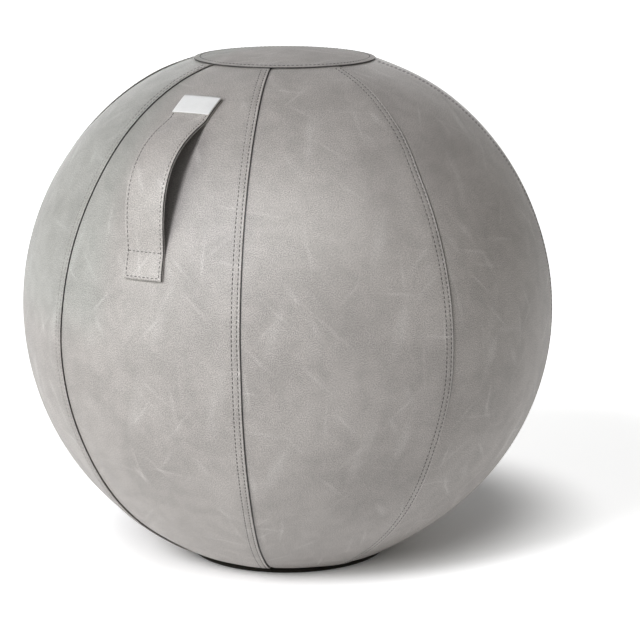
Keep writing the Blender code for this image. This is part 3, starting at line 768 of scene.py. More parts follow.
def zinc(name, colour):
    """Dull plated zinc with a cloudy tone and fine scratches."""
    finish = Finish(name)
    place = finish.place()
    cloud = finish.noise(place, 250.0, detail=4.0, roughness=0.6)
    drawn = finish.scaled(place, (2200.0, 300.0, 300.0), (0.3, 0.2, 0.7))
    scratches = finish.ramp(finish.noise(drawn, 1.0, detail=2.0, roughness=0.6), 0.55, 0.75)
    finish.set(
        Base_Color=finish.mix(cloud, rgba(colour, 0.75), rgba(colour)),
        Metallic=1.0,
        Roughness=finish.ramp(0.6 * cloud + 0.4 * scratches, 0.2, 0.8, 0.42, 0.28),
        Normal=finish.relief(scratches, 0.00004, 0.4),
    )
    return finish.material


# Painted light that washes the thread out: places along X and Z that it grows between, and how far it goes
THREAD_LIGHT_ASIDE = (-0.04, -0.09)
THREAD_LIGHT_HEIGHT = (0.58, 0.54)
THREAD_LIGHT_SHARE = 0.8


def sewing_thread(name, colour, washed_colour):
    """Sewing thread: a fine, uneven twist, with painted light that washes it out on the ball's left side.
    """
    finish = Finish(name)
    place = finish.place()
    twist = finish.noise(place, 1400.0, detail=2.0, roughness=0.6)
    plain = finish.mix(twist, rgba(colour, 0.7), rgba(colour, 1.4))
    spot = finish.node("ShaderNodeSeparateXYZ", None, {0: place})
    # Painted light washing the thread out on the left side, lower down
    painted_wash = finish.ramp(spot, *THREAD_LIGHT_ASIDE, 0.0, THREAD_LIGHT_SHARE) * finish.ramp(spot.other("Z"), *THREAD_LIGHT_HEIGHT)
    finish.set(
        Base_Color=finish.mix(painted_wash, plain, rgba(washed_colour)),
        Roughness=finish.ramp(twist, 0.2, 0.8, 0.6, 0.75),
        Normal=finish.relief(twist, 0.0001, 0.5),
    )
    return finish.material


def finish_once(name, make, *given, **named):
    """A finish that several operators share, made the first time it is asked for."""
    return bpy.data.materials.get(name) or make(name, *given, **named)


def cover_leather(cover):
    """The cover's leatherette."""
    return finish_once("grey_leatherette_look", leatherette, cover)


def cover_thread(cover):
    """The cover's sewing thread."""
    return finish_once("seam_thread_look", sewing_thread, cover.thread_colour, cover.leather_dark)


def length_setting(name, default, description):
    """A size in metres."""
    return FloatProperty(name=name, description=description, default=default, unit="LENGTH")


def angle_setting(name, degrees, description):
    """An angle, given in degrees."""
    return FloatProperty(name=name, description=description, default=math.radians(degrees), subtype="ANGLE")


def colour_setting(name, default, description):
    """A colour in linear light."""
    return FloatVectorProperty(
        name=name, description=description, default=default, subtype="COLOR", min=0.0, max=1.0
    )


class SITBALL_PG_cover(bpy.types.PropertyGroup):
    """Sizes and colours of the sewn cover"""

    ball_radius: length_setting("Ball Radius", 0.325, "Radius of the pumped-up ball in its cover")
    panel_count: IntProperty(name="Panels", description="Panels round the ball", default=8, min=3)
    shoulder_crown: length_setting("Shoulder Crown", 0.0065, "Swell of the panel under the handle")
    equator_hollow: length_setting("Equator Hollow", 0.0018, "Flatness of a panel at the equator")
    hem_width: length_setting("Hem Width", 0.012, "Width of the folded hem of a panel")
    hem_raise: length_setting("Hem Raise", 0.0019, "How far a hem stands out")
    stitch_pitch: length_setting("Stitch Pitch", 0.0053, "Distance from stitch to stitch")
    stitch_length: length_setting("Stitch Length", 0.0037, "Length of thread that shows")
    stitch_width: length_setting("Stitch Width", 0.0011, "Thickness of the thread")
    leather_colour: colour_setting("Leatherette", (0.511, 0.479, 0.456), "Lighter tone of the cover")
    leather_dark: colour_setting("Leatherette Shade", (0.381, 0.3565, 0.3385), "Darker tone of the cover")
    # Also the colour of the painted highlight and pale rubbing on folds
    leather_pale: colour_setting("Scuffs", (0.638, 0.611, 0.586), "Colour of pale scuffs")
    # Painted shade, mixed into the colour down in the seams, under the patch's rim and on the top
    painted_shade_colour: colour_setting("Groove", (0.03, 0.029, 0.028), "Colour down in the seams")
    thread_colour: colour_setting("Thread", (0.06, 0.058, 0.055), "Colour of the sewing thread")


class SITBALL_PG_handle(bpy.types.PropertyGroup):
    """Sizes and colours of the handle"""

    width: length_setting("Width", 0.05, "Width of the strap")
    bow: length_setting("Bow", 0.023, "How far the strap stands off the ball")
    label_colour: colour_setting("Label", (0.985, 0.985, 0.975), "Colour of the blank label")


class SITBALL_PG_fittings(bpy.types.PropertyGroup):
    """Colours of the base, the inner ball and the zip"""

    fabric_colour: colour_setting("Base Fabric", (0.022, 0.0195, 0.0165), "Colour of the base and its ring")
    tape_colour: colour_setting("Zip Tape", (0.1, 0.098, 0.095), "Colour of the zip's tapes")
    metal_colour: colour_setting("Zip Metal", (0.42, 0.41, 0.4), "Colour of the slider and stops")
    ball_colour: colour_setting("Inner Ball", (0.16, 0.17, 0.18), "Colour of the inner ball")


class SITBALL_PG_stage(bpy.types.PropertyGroup):
    """Camera and light"""

    azimuth: angle_setting("Camera Azimuth", 31.88, "Where the camera stands round the ball")
    elevation: angle_setting("Camera Elevation", 11.93, "How far the camera looks down")
    roll: angle_setting("Camera Roll", -0.42, "Tilt of the camera")
    distance: length_setting("Camera Distance", 3.25, "From the camera to the ball's centre")
    focal_pixels: FloatProperty(
        name="Focal Length", description="Focal length in pixels of the square picture", default=2632.0
    )


class SITBALL_OT_panels(bpy.types.Operator):
    """Sew the panels of the cover, each with a folded hem that laps over the next panel"""

    bl_idname = "sitball.panels"
    bl_label = "Cover Panels"

    def execute(self, context):
        cover = context.scene.sitball_cover
        form = CoverForm(cover)
        for index in range(cover.panel_count):
            cover_panel(index, form, cover)
        return {"FINISHED"}


def left_station(column, depth, width, share):
    """Distance from the left seam, height and painted groove shade of a lapped edge; share opens it at the
    zip.
    """
    count = LAP_COLUMNS + VALLEY_COLUMNS
    if column < LAP_COLUMNS:
        along = LAP_WIDTH * (column / LAP_COLUMNS - 1)
    else:
        along = VALLEY_REACH * ((column - LAP_COLUMNS) / VALLEY_COLUMNS) ** VALLEY_CROWDING
    height = depth * (1 - smooth(along, 0.0, LAP_RISE))
    dark = 1 - smooth(along, *(part * width for part in GROOVE_FADE))
    inward = (VALLEY_REACH - ZIP_EDGE) * (column / count) ** VALLEY_CROWDING
    edge_height = ZIP_HEM * (1 - smooth(inward, *ZIP_HEM_FADE)) - EDGE_DROP * edge_share(inward)
    edge_dark = EDGE_SHADE if column == 0 else 0.0
    along += share * (ZIP_EDGE + inward - along)
    height += share * (edge_height - height)
    return along, height, dark + share * (edge_dark - dark)


def right_station(column, polar, form, wear_and_highlight_share, share):
    """Distance from the right seam, height and groove of a panel's hem: painted shade on its edge wall,
    pale rubbing with a painted highlight on its fold; share opens it at the zip.
    """
    inward = HEM_REACH * ((HEM_COLUMNS - column) / HEM_COLUMNS) ** HEM_CROWDING
    dark = EDGE_SHADE if column == HEM_COLUMNS else -wear_and_highlight_share * bump(inward, FOLD_WEAR_AND_HIGHLIGHT, FOLD_WEAR_AND_HIGHLIGHT)
    return -inward - ZIP_EDGE * share, form.hem_height(polar, inward, share), dark


def distances(rows):
    """How far each row of a panel lies from its first row, along the panel."""
    travelled = [0.0]
    for (polar, radius), (after, _) in zip(rows, rows[1:]):
        travelled.append(travelled[-1] + radius * abs(after - polar))
    return travelled


def gore_size(form, rows, travelled):
    """Width, length and area of a panel when it is cut, with its hem and its lap."""
    widths = [radius * math.sin(polar) * form.angle for polar, radius in rows]
    steps = [b - a for a, b in zip(travelled, travelled[1:])]
    extra = form.hem_width + LAP_WIDTH
    area = sum((a + b) / 2 * step for a, b, step in zip(widths, widths[1:], steps))
    return max(widths) + extra, travelled[-1], area + extra * travelled[-1]


def cover_panel(index, form, cover):
    """One panel of the cover, as a sheet with its seams' lap and hem."""
    rows = meridian_rows(form)
    travelled = distances(rows)
    left_seam = (index - 1) % cover.panel_count
    wear_and_highlight_share = SEAM_LOOKS.get(index, PLAIN_LOOK)[2]
    first = LAP_COLUMNS + VALLEY_COLUMNS
    last = first + MIDDLE_COLUMNS
    columns = last + HEM_COLUMNS

    def place(column, row):
        polar, radius = rows[row]
        width = radius * math.sin(polar) * form.angle
        opened = zip_share(polar)
        left_open = opened if index == ZIP_PANEL + 1 else 0.0
        right_open = opened if index == ZIP_PANEL else 0.0
        if column <= first:
            groove = groove_width(left_seam, polar)
            along, height, dark = left_station(column, form.lap_depth(polar), groove, left_open)
        elif column < last:
            start = VALLEY_REACH
            end = width - HEM_REACH - ZIP_EDGE * right_open
            along = start + (end - start) * (column - first) / MIDDLE_COLUMNS
            height = form.hem_height(polar, HEM_REACH + end - along, right_open)
            dark = 0.0
        else:
            along, height, dark = right_station(column - last, polar, form, wear_and_highlight_share, right_open)
            along += width
        across = along / width - 0.5
        if -0.5 < across < 0.5:
            height += form.crown(polar, across, index)
        flat = (along - width / 2 + PANEL_SHIFT * index, travelled[row], index)
        left_drift = seam_drift(left_seam, polar)
        right_drift = seam_drift(index, polar)
        drift = left_drift + (right_drift - left_drift) * min(1.0, max(0.0, across + 0.5))
        azimuth = (index + across + drift / width) * form.angle
        spot = settled(point_at(radius + height, polar, azimuth))
        return spot, flat, dark

    name = f"cover_panel_{index + 1}"
    mesh = mapped_grid(f"{name}_look", columns, len(rows) - 1, place)
    piece = add_piece(mesh, cover_leather(cover), name)
    hem = piece.vertex_groups.new(name="hem")
    doubled = [
        column + row * (columns + 1)
        for row in range(len(rows))
        for column in range(last + HEM_COLUMNS // 2, columns + 1)
    ]
    hem.add(doubled, 1.0, "REPLACE")
    add_wall(piece, HEM_THICKNESS, "hem", SKIN / HEM_THICKNESS)
    width, length, area = gore_size(form, rows, travelled)


class SITBALL_OT_seams(bpy.types.Operator):
    """Sew two rows of stitches along the hem of every seam"""

    bl_idname = "sitball.seams"
    bl_label = "Seam Stitches"

    def execute(self, context):
        cover = context.scene.sitball_cover
        form = CoverForm(cover)
        start = TOP_RIM_ANGLE + SEAM_MARGIN
        end = FOOT_RIM_ANGLE - SEAM_MARGIN
        for seam in range(cover.panel_count):
            thread = bmesh.new()
            for inward in STITCH_ROWS:
                sew(thread, seam_route(form, seam, start, inward), form.radius * (end - start), cover)
            thread_piece(f"seam_{seam + 1}_stitches", thread, cover_thread(cover))
        return {"FINISHED"}


def seam_route(form, seam, start, inward):
    """A route down the hem of a seam, at a distance inward from its fold."""
    def route(distance):
        polar = start + distance / form.radius
        spot = form.seam_point(seam, polar, inward, SEAM_THREAD_LIFT)
        return spot, spot - CENTRE
    return route


class SITBALL_OT_patch(bpy.types.Operator):
    """Make the round top patch with its folded hem and its row of stitches"""

    bl_idname = "sitball.patch"
    bl_label = "Top Patch"

    def execute(self, context):
        top_patch(context.scene.sitball_cover)
        return {"FINISHED"}


# Top patch
PATCH_HEM_RAISE = 0.0005
PATCH_HEM_FADE = (0.0085, 0.0115)
PATCH_HEM_ZONE = 0.016
PATCH_SWELL = 0.001
PATCH_STITCH = 0.0072
PATCH_EDGE_SHADE = 0.85
PATCH_EDGE_WIDTH = 0.0004
PATCH_RIPPLE = 0.0004
RIPPLE_SCALE = 18
RIPPLE_START = 0.05
PATCH_RIM_STEPS = 26
PATCH_DISC_STEPS = 14


def patch_height(inward):
    """Height of the patch's outer face, with its hem, at a distance inward from its rim."""
    height = patch_outer(PATCH_RADIUS - inward)
    height += PATCH_SWELL * smooth(inward, 0.0, PATCH_RADIUS)
    height += PATCH_HEM_RAISE * (1 - smooth(inward, *PATCH_HEM_FADE))
    height -= STITCH_VALLEY * bump(inward, PATCH_STITCH, VALLEY_WIDTH)
    return height - EDGE_DROP * edge_share(inward)


def top_patch(cover):
    """The round patch over the panels' upper ends."""
    steps = range(PATCH_RIM_STEPS)
    inwards = [PATCH_HEM_ZONE * (i / PATCH_RIM_STEPS) ** VALLEY_CROWDING for i in steps]
    inwards += spaced(PATCH_HEM_ZONE, PATCH_RADIUS, PATCH_DISC_STEPS)
    outer = [(PATCH_RADIUS - inward, CENTRE.z + patch_height(inward)) for inward in reversed(inwards)]
    radii = spaced(PATCH_RADIUS, 0.0, PATCH_DISC_STEPS)
    under = [(radius, CENTRE.z + patch_outer(radius) - SKIN) for radius in radii]
    mesh = turned_mesh("top_patch_look", outer + under, TURN_STEPS)
    cloth = []
    groove = []
    for vertex in mesh.vertices:
        radius = math.hypot(vertex.co.x, vertex.co.y)
        cloth.extend((vertex.co.x, vertex.co.y, PATCH_CLOTH))
        groove.append(PATCH_EDGE_SHADE * smooth(radius, PATCH_RADIUS - PATCH_EDGE_WIDTH, PATCH_RADIUS))
        vertex.co = settled(vertex.co)
        ripple = noise.noise(RIPPLE_SCALE * vertex.co) * smooth(radius, 0.0, RIPPLE_START)
        vertex.co.z += PATCH_RIPPLE * ripple
    set_attributes(mesh, cloth, groove)
    piece = add_piece(mesh, cover_leather(cover), "top_patch")
    thread = bmesh.new()
    ring = PATCH_RADIUS - PATCH_STITCH

    def route(distance):
        turn = distance / ring
        height = CENTRE.z + patch_height(PATCH_STITCH) + PATCH_THREAD_LIFT
        spot = settled(Vector((ring * math.sin(turn), -ring * math.cos(turn), height)))
        return spot, Vector((0.0, 0.0, 1.0))

    sew(thread, route, 2 * math.pi * ring, cover)
    stitches = thread_piece("top_patch_stitches", thread, cover_thread(cover))


class SITBALL_OT_base(bpy.types.Operator):
    """Make the base panel and the padded base ring"""

    bl_idname = "sitball.base"
    bl_label = "Base"

    def execute(self, context):
        fittings = context.scene.sitball_fittings
        fabric = finish_once("base_fabric_look", woven, fittings.fabric_colour, pitch=0.0012)
        foam = finish_once("ring_foam_look", moulded, FOAM_COLOUR, roughness=0.9)
        base_panel(fabric)
        base_ring(fabric, foam)
        return {"FINISHED"}


def base_panel(fabric):
    """The round panel that closes the underside."""
    radii = spaced(0.0, BASE_RADIUS, PATCH_DISC_STEPS)
    upper = [(radius, CENTRE.z + base_outer(radius) + SKIN) for radius in radii]
    lower = [(radius, CENTRE.z + base_outer(radius)) for radius in reversed(radii)]
    mesh = turned_mesh("base_panel_look", upper + lower, TURN_STEPS)
    piece = add_piece(mesh, fabric, "base_panel")


def ring_path(inset):
    """The ring's skin in section, from its outer lip down, under and up its inner side."""
    inner_edge = RING_OUTER - RING_WIDTH
    centre = (RING_OUTER - RING_SHOULDER, RING_BELLY)
    reach = RING_SHOULDER - inset
    inner_centre = (inner_edge + RING_BULGE, RING_HEIGHT / 2)
    inner_radii = (RING_BULGE - inset, RING_HEIGHT / 2 - inset)
    upper = arc(centre, (reach, RING_HEIGHT - RING_BELLY - inset), math.pi / 2, 0.0, RING_STEPS)
    lower = arc(centre, (reach, RING_BELLY - inset), 0.0, -math.pi / 2, RING_STEPS)
    inner = arc(inner_centre, inner_radii, -math.pi / 2, -math.pi, RING_STEPS)
    return upper + lower[1:] + inner


def base_ring(fabric, foam):
    """The sewn ring and the filling inside it."""
    inner_edge = RING_OUTER - RING_WIDTH
    edge_height = CENTRE.z + base_outer(inner_edge) - GAP
    edge = [(inner_edge, edge_height), (inner_edge + RING_SKIN, edge_height)]
    skin = ring_path(0.0) + edge + list(reversed(ring_path(RING_SKIN)))
    mesh = turned_mesh("base_ring_look", closed_profile(skin), TURN_STEPS)
    piece = add_piece(mesh, fabric, "base_ring_cover")
    inset = RING_SKIN + GAP
    core = ring_path(inset)
    core.append((inner_edge + inset, edge_height))
    core.append((BASE_RADIUS, CENTRE.z + base_outer(BASE_RADIUS) - GAP))
    mesh = turned_mesh("base_ring_filling_look", closed_profile(core), TURN_STEPS)
    filling = add_piece(mesh, foam, "base_ring_filling")


class SITBALL_OT_inner_ball(bpy.types.Operator):
    """Make the air-filled inner ball and finish its valve"""

    bl_idname = "sitball.inner_ball"
    bl_label = "Inner Ball"

    def execute(self, context):
        fittings = context.scene.sitball_fittings
        form = CoverForm(context.scene.sitball_cover)
        vinyl = finish_once("ball_vinyl_look", moulded, fittings.ball_colour, roughness=0.45)
        inner_ball(form, vinyl)
        dress("valve_collar", vinyl)
        dress("valve_plug", finish_once("valve_white_look", moulded, VALVE_COLOUR, roughness=0.4))
        return {"FINISHED"}


def dress(node, material):
    """Give a node of the frame a better finish."""
    mesh = frame["nodes"][node].data
    mesh.materials.clear()
    mesh.materials.append(material)


def inner_ball(form, vinyl):
    """The inner ball: one thick wall, flattened top and bottom, with the valve's hole at its foot."""
    cap_edge = PATCH_RADIUS - RIM_LAP
    top = patch_outer(0.0) - SKIN - GAP
    top_fall = top - (panel_top(cap_edge) - BALL_CLEARANCE)
    foot = base_outer(0.0) + SKIN + GAP
    foot_rise = panel_foot(cap_edge) + BALL_CLEARANCE - foot

    def section(wall):
        starts = spaced(0.0, cap_edge, CAP_STEPS)
        points = [(r, top - wall - top_fall * (r / cap_edge) ** 2) for r in starts]
        for polar in spaced(TOP_RIM_ANGLE, FOOT_RIM_ANGLE, BALL_ROWS):
            reach = form.seam_radius(polar) - BALL_CLEARANCE - wall
            points.append((reach * math.sin(polar), reach * math.cos(polar)))
        ends = spaced(cap_edge, VALVE_HOLE, CAP_STEPS)
        points += [(r, foot + wall + foot_rise * (r / cap_edge) ** 2) for r in ends]
        return [(radius, height + CENTRE.z) for radius, height in points]

    outline = section(0.0) + list(reversed(section(BALL_WALL)))
    mesh = turned_mesh("inner_ball_look", outline, TURN_STEPS)
    for vertex in mesh.vertices:
        vertex.co = settled(vertex.co)
    add_piece(mesh, vinyl, "inner_ball")


class SITBALL_OT_handle(bpy.types.Operator):
    """Make the strap handle of two sewn layers, with its stitches and the blank label"""

    bl_idname = "sitball.handle"
    bl_label = "Handle"

    def execute(self, context):
        form = CoverForm(context.scene.sitball_cover)
        make_handle(form, context.scene.sitball_cover, context.scene.sitball_handle)
        return {"FINISHED"}


# Facets of the strap, its place on the flat cloth, and how much lighter it is than the cover
STRAP_COLUMNS = 28
STRAP_ROWS = 110
MEASURE_STEPS = 200
ROUTE_STEPS = 300
CROSS_STEPS = 20
STRAP_CLOTH = 11
STRAP_LIGHTNESS = 1.1


def worn_highlit_edge(inward):
    """Groove of the strap: only its long edges are rubbed pale, with a painted highlight."""
    return -bump(inward, 0.0, FOLD_WEAR_AND_HIGHLIGHT)


def gap_shade_edge(inward):
    """Groove of the backing: painted shade where the strap's edge lies on it, plain at its own edge."""
    return smooth(inward, 0.0, BACKING_EDGE)


def plain_edge(inward):
    """No groove, and no pale fold either."""
    return 0.0


def strap_lift(polar, bow):
    """How far the strap stands off the panel: sewn flat at its ends, bowed between them."""
    share = (polar - FREE_TOP) / (FREE_BOTTOM - FREE_TOP)
    if share <= 0.0 or share >= 1.0:
        return GAP
    return GAP + bow * math.sin(math.pi * share) ** BOW_FULLNESS


def strap_skew(polar):
    """Sideways drift of the strap, which is sewn on a little askew."""
    if polar > HANDLE_MIDDLE:
        return LOWER_SKEW * ((polar - HANDLE_MIDDLE) / (HANDLE_BOTTOM - HANDLE_MIDDLE)) ** 2
    return UPPER_SKEW * ((HANDLE_MIDDLE - polar) / (HANDLE_MIDDLE - HANDLE_TOP)) ** 2


def strap_point(form, handle, polar, aside, lift):
    """A point over the front panel, aside from the strap's middle and lifted off its lower face."""
    level = form.radius * math.sin(polar)
    azimuth = (aside + strap_skew(polar)) / level
    surface = form.seam_radius(polar) + form.crown(polar, azimuth / form.angle, HANDLE_PANEL)
    return point_at(surface + strap_lift(polar, handle.bow) + lift, polar, azimuth)


def strap_width(handle, polar):
    """Width of the strap, drawn in a little where it is free."""
    return handle.width - WAIST * bump(polar, HANDLE_MIDDLE, WAIST_SPREAD)


def strap_layer(node, form, handle, bottom, lift, thickness, inset, edge, material):
    """One layer of the handle as a band with rounded long edges; edge(inward) is its groove."""
    rows = round(STRAP_ROWS * (bottom - HANDLE_TOP) / (HANDLE_BOTTOM - HANDLE_TOP))
    polars = spaced(HANDLE_TOP, bottom, rows)

    def place(column, row):
        polar = polars[row]
        half = strap_width(handle, polar) / 2 - inset
        share = 2 * column / STRAP_COLUMNS - 1
        aside = half * math.copysign(1 - (1 - abs(share)) ** HEM_CROWDING, share)
        inward = half - abs(aside)
        pressed = edge_share(inward) + bump(inward, STRAP_STITCH, VALLEY_WIDTH)
        drop = STRAP_ROUNDING * thickness * pressed
        spot = strap_point(form, handle, polar, aside, lift + thickness - drop)
        flat = (aside + PANEL_SHIFT * STRAP_CLOTH, form.radius * polar, STRAP_CLOTH + lift)
        return spot, flat, edge(inward)

    mesh = mapped_grid(f"{node}_look", STRAP_COLUMNS, rows, place)
    piece = add_piece(mesh, material, node)
    add_wall(piece, thickness)
    return piece


def band_length(form, handle, bottom, lift):
    """Length of the strap from its top to a polar angle, along its middle."""
    polars = spaced(HANDLE_TOP, bottom, MEASURE_STEPS)
    spots = [strap_point(form, handle, polar, 0.0, lift) for polar in polars]
    return sum((b - a).length for a, b in zip(spots, spots[1:]))


def make_handle(form, cover, handle):
    """The strap, its backing, their stitches and the label."""
    leather = finish_once("strap_leatherette_look", leatherette, cover, STRAP_LIGHTNESS)
    outer_lift = STRAP_LAYER + GAP
    label_lift = outer_lift + STRAP_LAYER + GAP
    backing = strap_layer(
        "handle_backing", form, handle, HANDLE_BOTTOM, 0.0, STRAP_LAYER, -BACKING_EDGE, gap_shade_edge,
        leather,
    )
    strap = strap_layer(
        "handle_strap", form, handle, HANDLE_BOTTOM, outer_lift, STRAP_LAYER, 0.0, worn_highlit_edge,
        leather,
    )
    white = finish_once(
        "label_white_look", woven, handle.label_colour, pitch=0.0007, roughness=0.5, shine=0.5
    )
    label = strap_layer(
        "label", form, handle, LABEL_BOTTOM, label_lift, LABEL_THICKNESS, LABEL_INSET, plain_edge,
        white,
    )
    stitches = handle_stitches(form, cover, handle, outer_lift + STRAP_LAYER)
    length = band_length(form, handle, HANDLE_BOTTOM, outer_lift)
    tall = band_length(form, handle, LABEL_BOTTOM, label_lift)


def handle_stitches(form, cover, handle, lift):
    """Rows along both long edges of the strap, and the sewn box at its lower end."""
    thread = bmesh.new()
    seat = lift - STRAP_ROUNDING * STRAP_LAYER + STRAP_THREAD_LIFT
    box_bottom = HANDLE_BOTTOM - STRAP_STITCH / form.radius

    def edge_route(side):
        polars = spaced(LABEL_BOTTOM, box_bottom, ROUTE_STEPS)
        spots = []
        for polar in polars:
            aside = side * (strap_width(handle, polar) / 2 - STRAP_STITCH)
            spots.append(strap_point(form, handle, polar, aside, seat))
        return polyline_route(spots)

    def cross_route(polar):
        half = handle.width / 2 - STRAP_STITCH
        asides = spaced(-half, half, CROSS_STEPS)
        spots = [strap_point(form, handle, polar, aside, lift) for aside in asides]
        return polyline_route(spots)

    for route, length in (edge_route(-1), edge_route(1), cross_route(FREE_BOTTOM), cross_route(box_bottom)):
        sew(thread, route, length, cover)
    return thread_piece("handle_stitches", thread, cover_thread(cover))


def polyline_route(spots):
    """A route(distance) along a line of points, and its whole length."""
    gone = [0.0]
    for a, b in zip(spots, spots[1:]):
        gone.append(gone[-1] + (b - a).length)

    def route(distance):
        distance = min(max(distance, 0.0), gone[-1])
        i = min(len(spots) - 2, max(0, sum(1 for g in gone if g <= distance) - 1))
        share = (distance - gone[i]) / (gone[i + 1] - gone[i])
        spot = spots[i].lerp(spots[i + 1], share)
        return spot, spot - CENTRE

    return route, gone[-1]


class SITBALL_OT_zip(bpy.types.Operator):
    """Make the zip in the back seam: tapes, teeth and metal pieces"""

    bl_idname = "sitball.zip"
    bl_label = "Zip"

    def execute(self, context):
        form = CoverForm(context.scene.sitball_cover)
        make_zip(form, context.scene.sitball_cover, context.scene.sitball_fittings)
        return {"FINISHED"}


def zip_point(form, polar, aside, depth):
    """A point in the zip, aside from its middle line and at a depth under the cover's face."""
    return point_at(form.radius - depth, polar, ZIP_AZIMUTH) + aside * ZIP_ACROSS


def make_zip(form, cover, fittings):
    """Tapes, teeth, edge stitches and metal of the zip."""
    tape_look = finish_once("zip_tape_look", woven, fittings.tape_colour, pitch=0.0008)
    tooth_look = finish_once("zip_tooth_look", moulded, TOOTH_COLOUR, roughness=0.45)
    metal = finish_once("zip_metal_look", zinc, fittings.metal_colour)
    top = ZIP_TOP - TAPE_TAIL
    bottom = ZIP_BOTTOM + TAPE_TAIL
    polars = spaced(top, bottom, TAPE_ROWS)
    for name, side in (("left", -1), ("right", 1)):
        ends = sorted((side * CHAIN_SLIT / 2, side * TAPE_EDGE))

        def place(column, row, ends=ends):
            aside = ends[0] + (ends[1] - ends[0]) * column / TAPE_COLUMNS
            spot = zip_point(form, polars[row], aside, TAPE_DEPTH)
            return spot, (aside, form.radius * polars[row], TAPE_CLOTH), 0.0

        mesh = mapped_grid(f"zip_tape_{name}_look", TAPE_COLUMNS, TAPE_ROWS, place)
        tape = add_piece(mesh, tape_look, f"zip_tape_{name}")
        add_wall(tape, TAPE_THICKNESS)
        zip_teeth(form, name, side, tooth_look)
    for node in ("zip_upper_stop", "zip_lower_stop", "zip_slider", "zip_pull"):
        dress(node, metal)
    zip_stitches(form, cover)


def zip_teeth(form, name, side, material):
    """One row of nylon teeth on the edge of its tape."""
    chain = bmesh.new()
    radius = form.radius - TAPE_DEPTH
    start = ZIP_TOP + (STOP_LENGTH + GAP) / form.radius
    end = ZIP_BOTTOM - (STOP_LENGTH + GAP) / form.radius
    count = int(radius * (end - start) / TOOTH_PITCH)
    for i in range(count):
        polar = start + (end - start) * (i + 0.5) / count
        middle = side * (CHAIN_SLIT / 2 + TOOTH_LENGTH / 2 - TOOTH_OVERLAP)
        spot = zip_point(form, polar, middle, TAPE_DEPTH - GAP - TOOTH_HEIGHT / 2)
        reach = side * ZIP_ACROSS * TOOTH_LENGTH / 2
        add_stitch(chain, spot - reach, spot + reach, spot - CENTRE, TOOTH_WIDTH, TOOTH_HEIGHT)
    bmesh.ops.recalc_face_normals(chain, faces=chain.faces)
    mesh = ended_mesh(f"zip_coil_{name}_look", chain)
    add_piece(mesh, material, f"zip_coil_{name}")


def zip_stitches(form, cover):
    """One row of stitches along the lower panel's edge beside the zip."""
    thread = bmesh.new()

    def route(distance):
        polar = ZIP_TOP + distance / form.radius
        azimuth = ZIP_AZIMUTH + (ZIP_EDGE + STITCH_ROWS[0]) / (form.radius * math.sin(polar))
        spot = point_at(form.seam_radius(polar) + ZIP_THREAD_LIFT, polar, azimuth)
        return spot, spot - CENTRE

    sew(thread, route, form.radius * (ZIP_BOTTOM - ZIP_TOP), cover)
    thread_piece("zip_edge_stitches", thread, cover_thread(cover))


class SITBALL_OT_stage(bpy.types.Operator):
    """Set the floor, the lamps, the world and the camera"""

    bl_idname = "sitball.stage"
    bl_label = "Studio"

    def execute(self, context):
        stage = context.scene.sitball_stage
        context.scene.view_settings.view_transform = "Standard"
        add_floor(stage)
        add_world(context.scene, stage)
        for name, aside, elevation, *light in LAMPS:
            add_lamp(name, stage.azimuth + math.radians(aside), math.radians(elevation), *light)
        add_camera(context.scene, stage)
        return {"FINISHED"}


# Name, degrees aside from the camera, elevation, light, spread in degrees, colour, and if it only glints
LAMPS = (
    ("key_lamp", -38, 36, 0.65, 18, (0.97, 0.97, 1.0), False),
    ("left_lamp", -62, 4, 0.545, 28, (0.975, 1.0, 0.955), False),
    ("right_lamp", 70, 5, 0.205, 50, (1.0, 0.965, 0.87), False),
    ("back_lamp", 180, 5, 0.25, 50, (1.0, 1.0, 1.0), False),
    ("sheen_lamp", 8, 42, 0.6, 42, (1.0, 1.0, 0.97), True),
)
LAMP_DISTANCE = 3.0
ROOM_LIGHT = 0.01
BACKDROP_LIGHT = 0.02
BACKDROP_SPREAD = (-0.1, 0.5)
BACKDROP_EDGE = (0.3, 0.95)
# Floor glow, and the painted shadow where it is held back: round the ring, and in a soft patch to the
# ball's right and behind it
FLOOR_GLOW = 0.84
RING_SHADE = (0.089, 0.319)
RING_BEHIND = 0.046
SHADOW_SHADE = (0.185, 0.365)
SHADOW_DEPTH = 0.86
SHADOW_ASIDE = 0.07
SHADOW_BEHIND = 0.166
FLOOR_SIZE = 60.0
FLOOR_COLOUR = (0.9, 0.9, 0.9, 1.0)


def seen_directly(finish):
    """1 for camera rays, and 1 for glossy and transmission rays; both are 0 for other light."""
    camera = finish.node("ShaderNodeLightPath", output="Is Camera Ray")
    return camera, camera.other("Is Glossy Ray") + camera.other("Is Transmission Ray")


def shown(finish, camera, mirrored):
    """The larger of what the camera sees and what shows in reflections."""
    return finish.node("ShaderNodeMath", {"operation": "MAXIMUM"}, {0: camera, 1: mirrored})


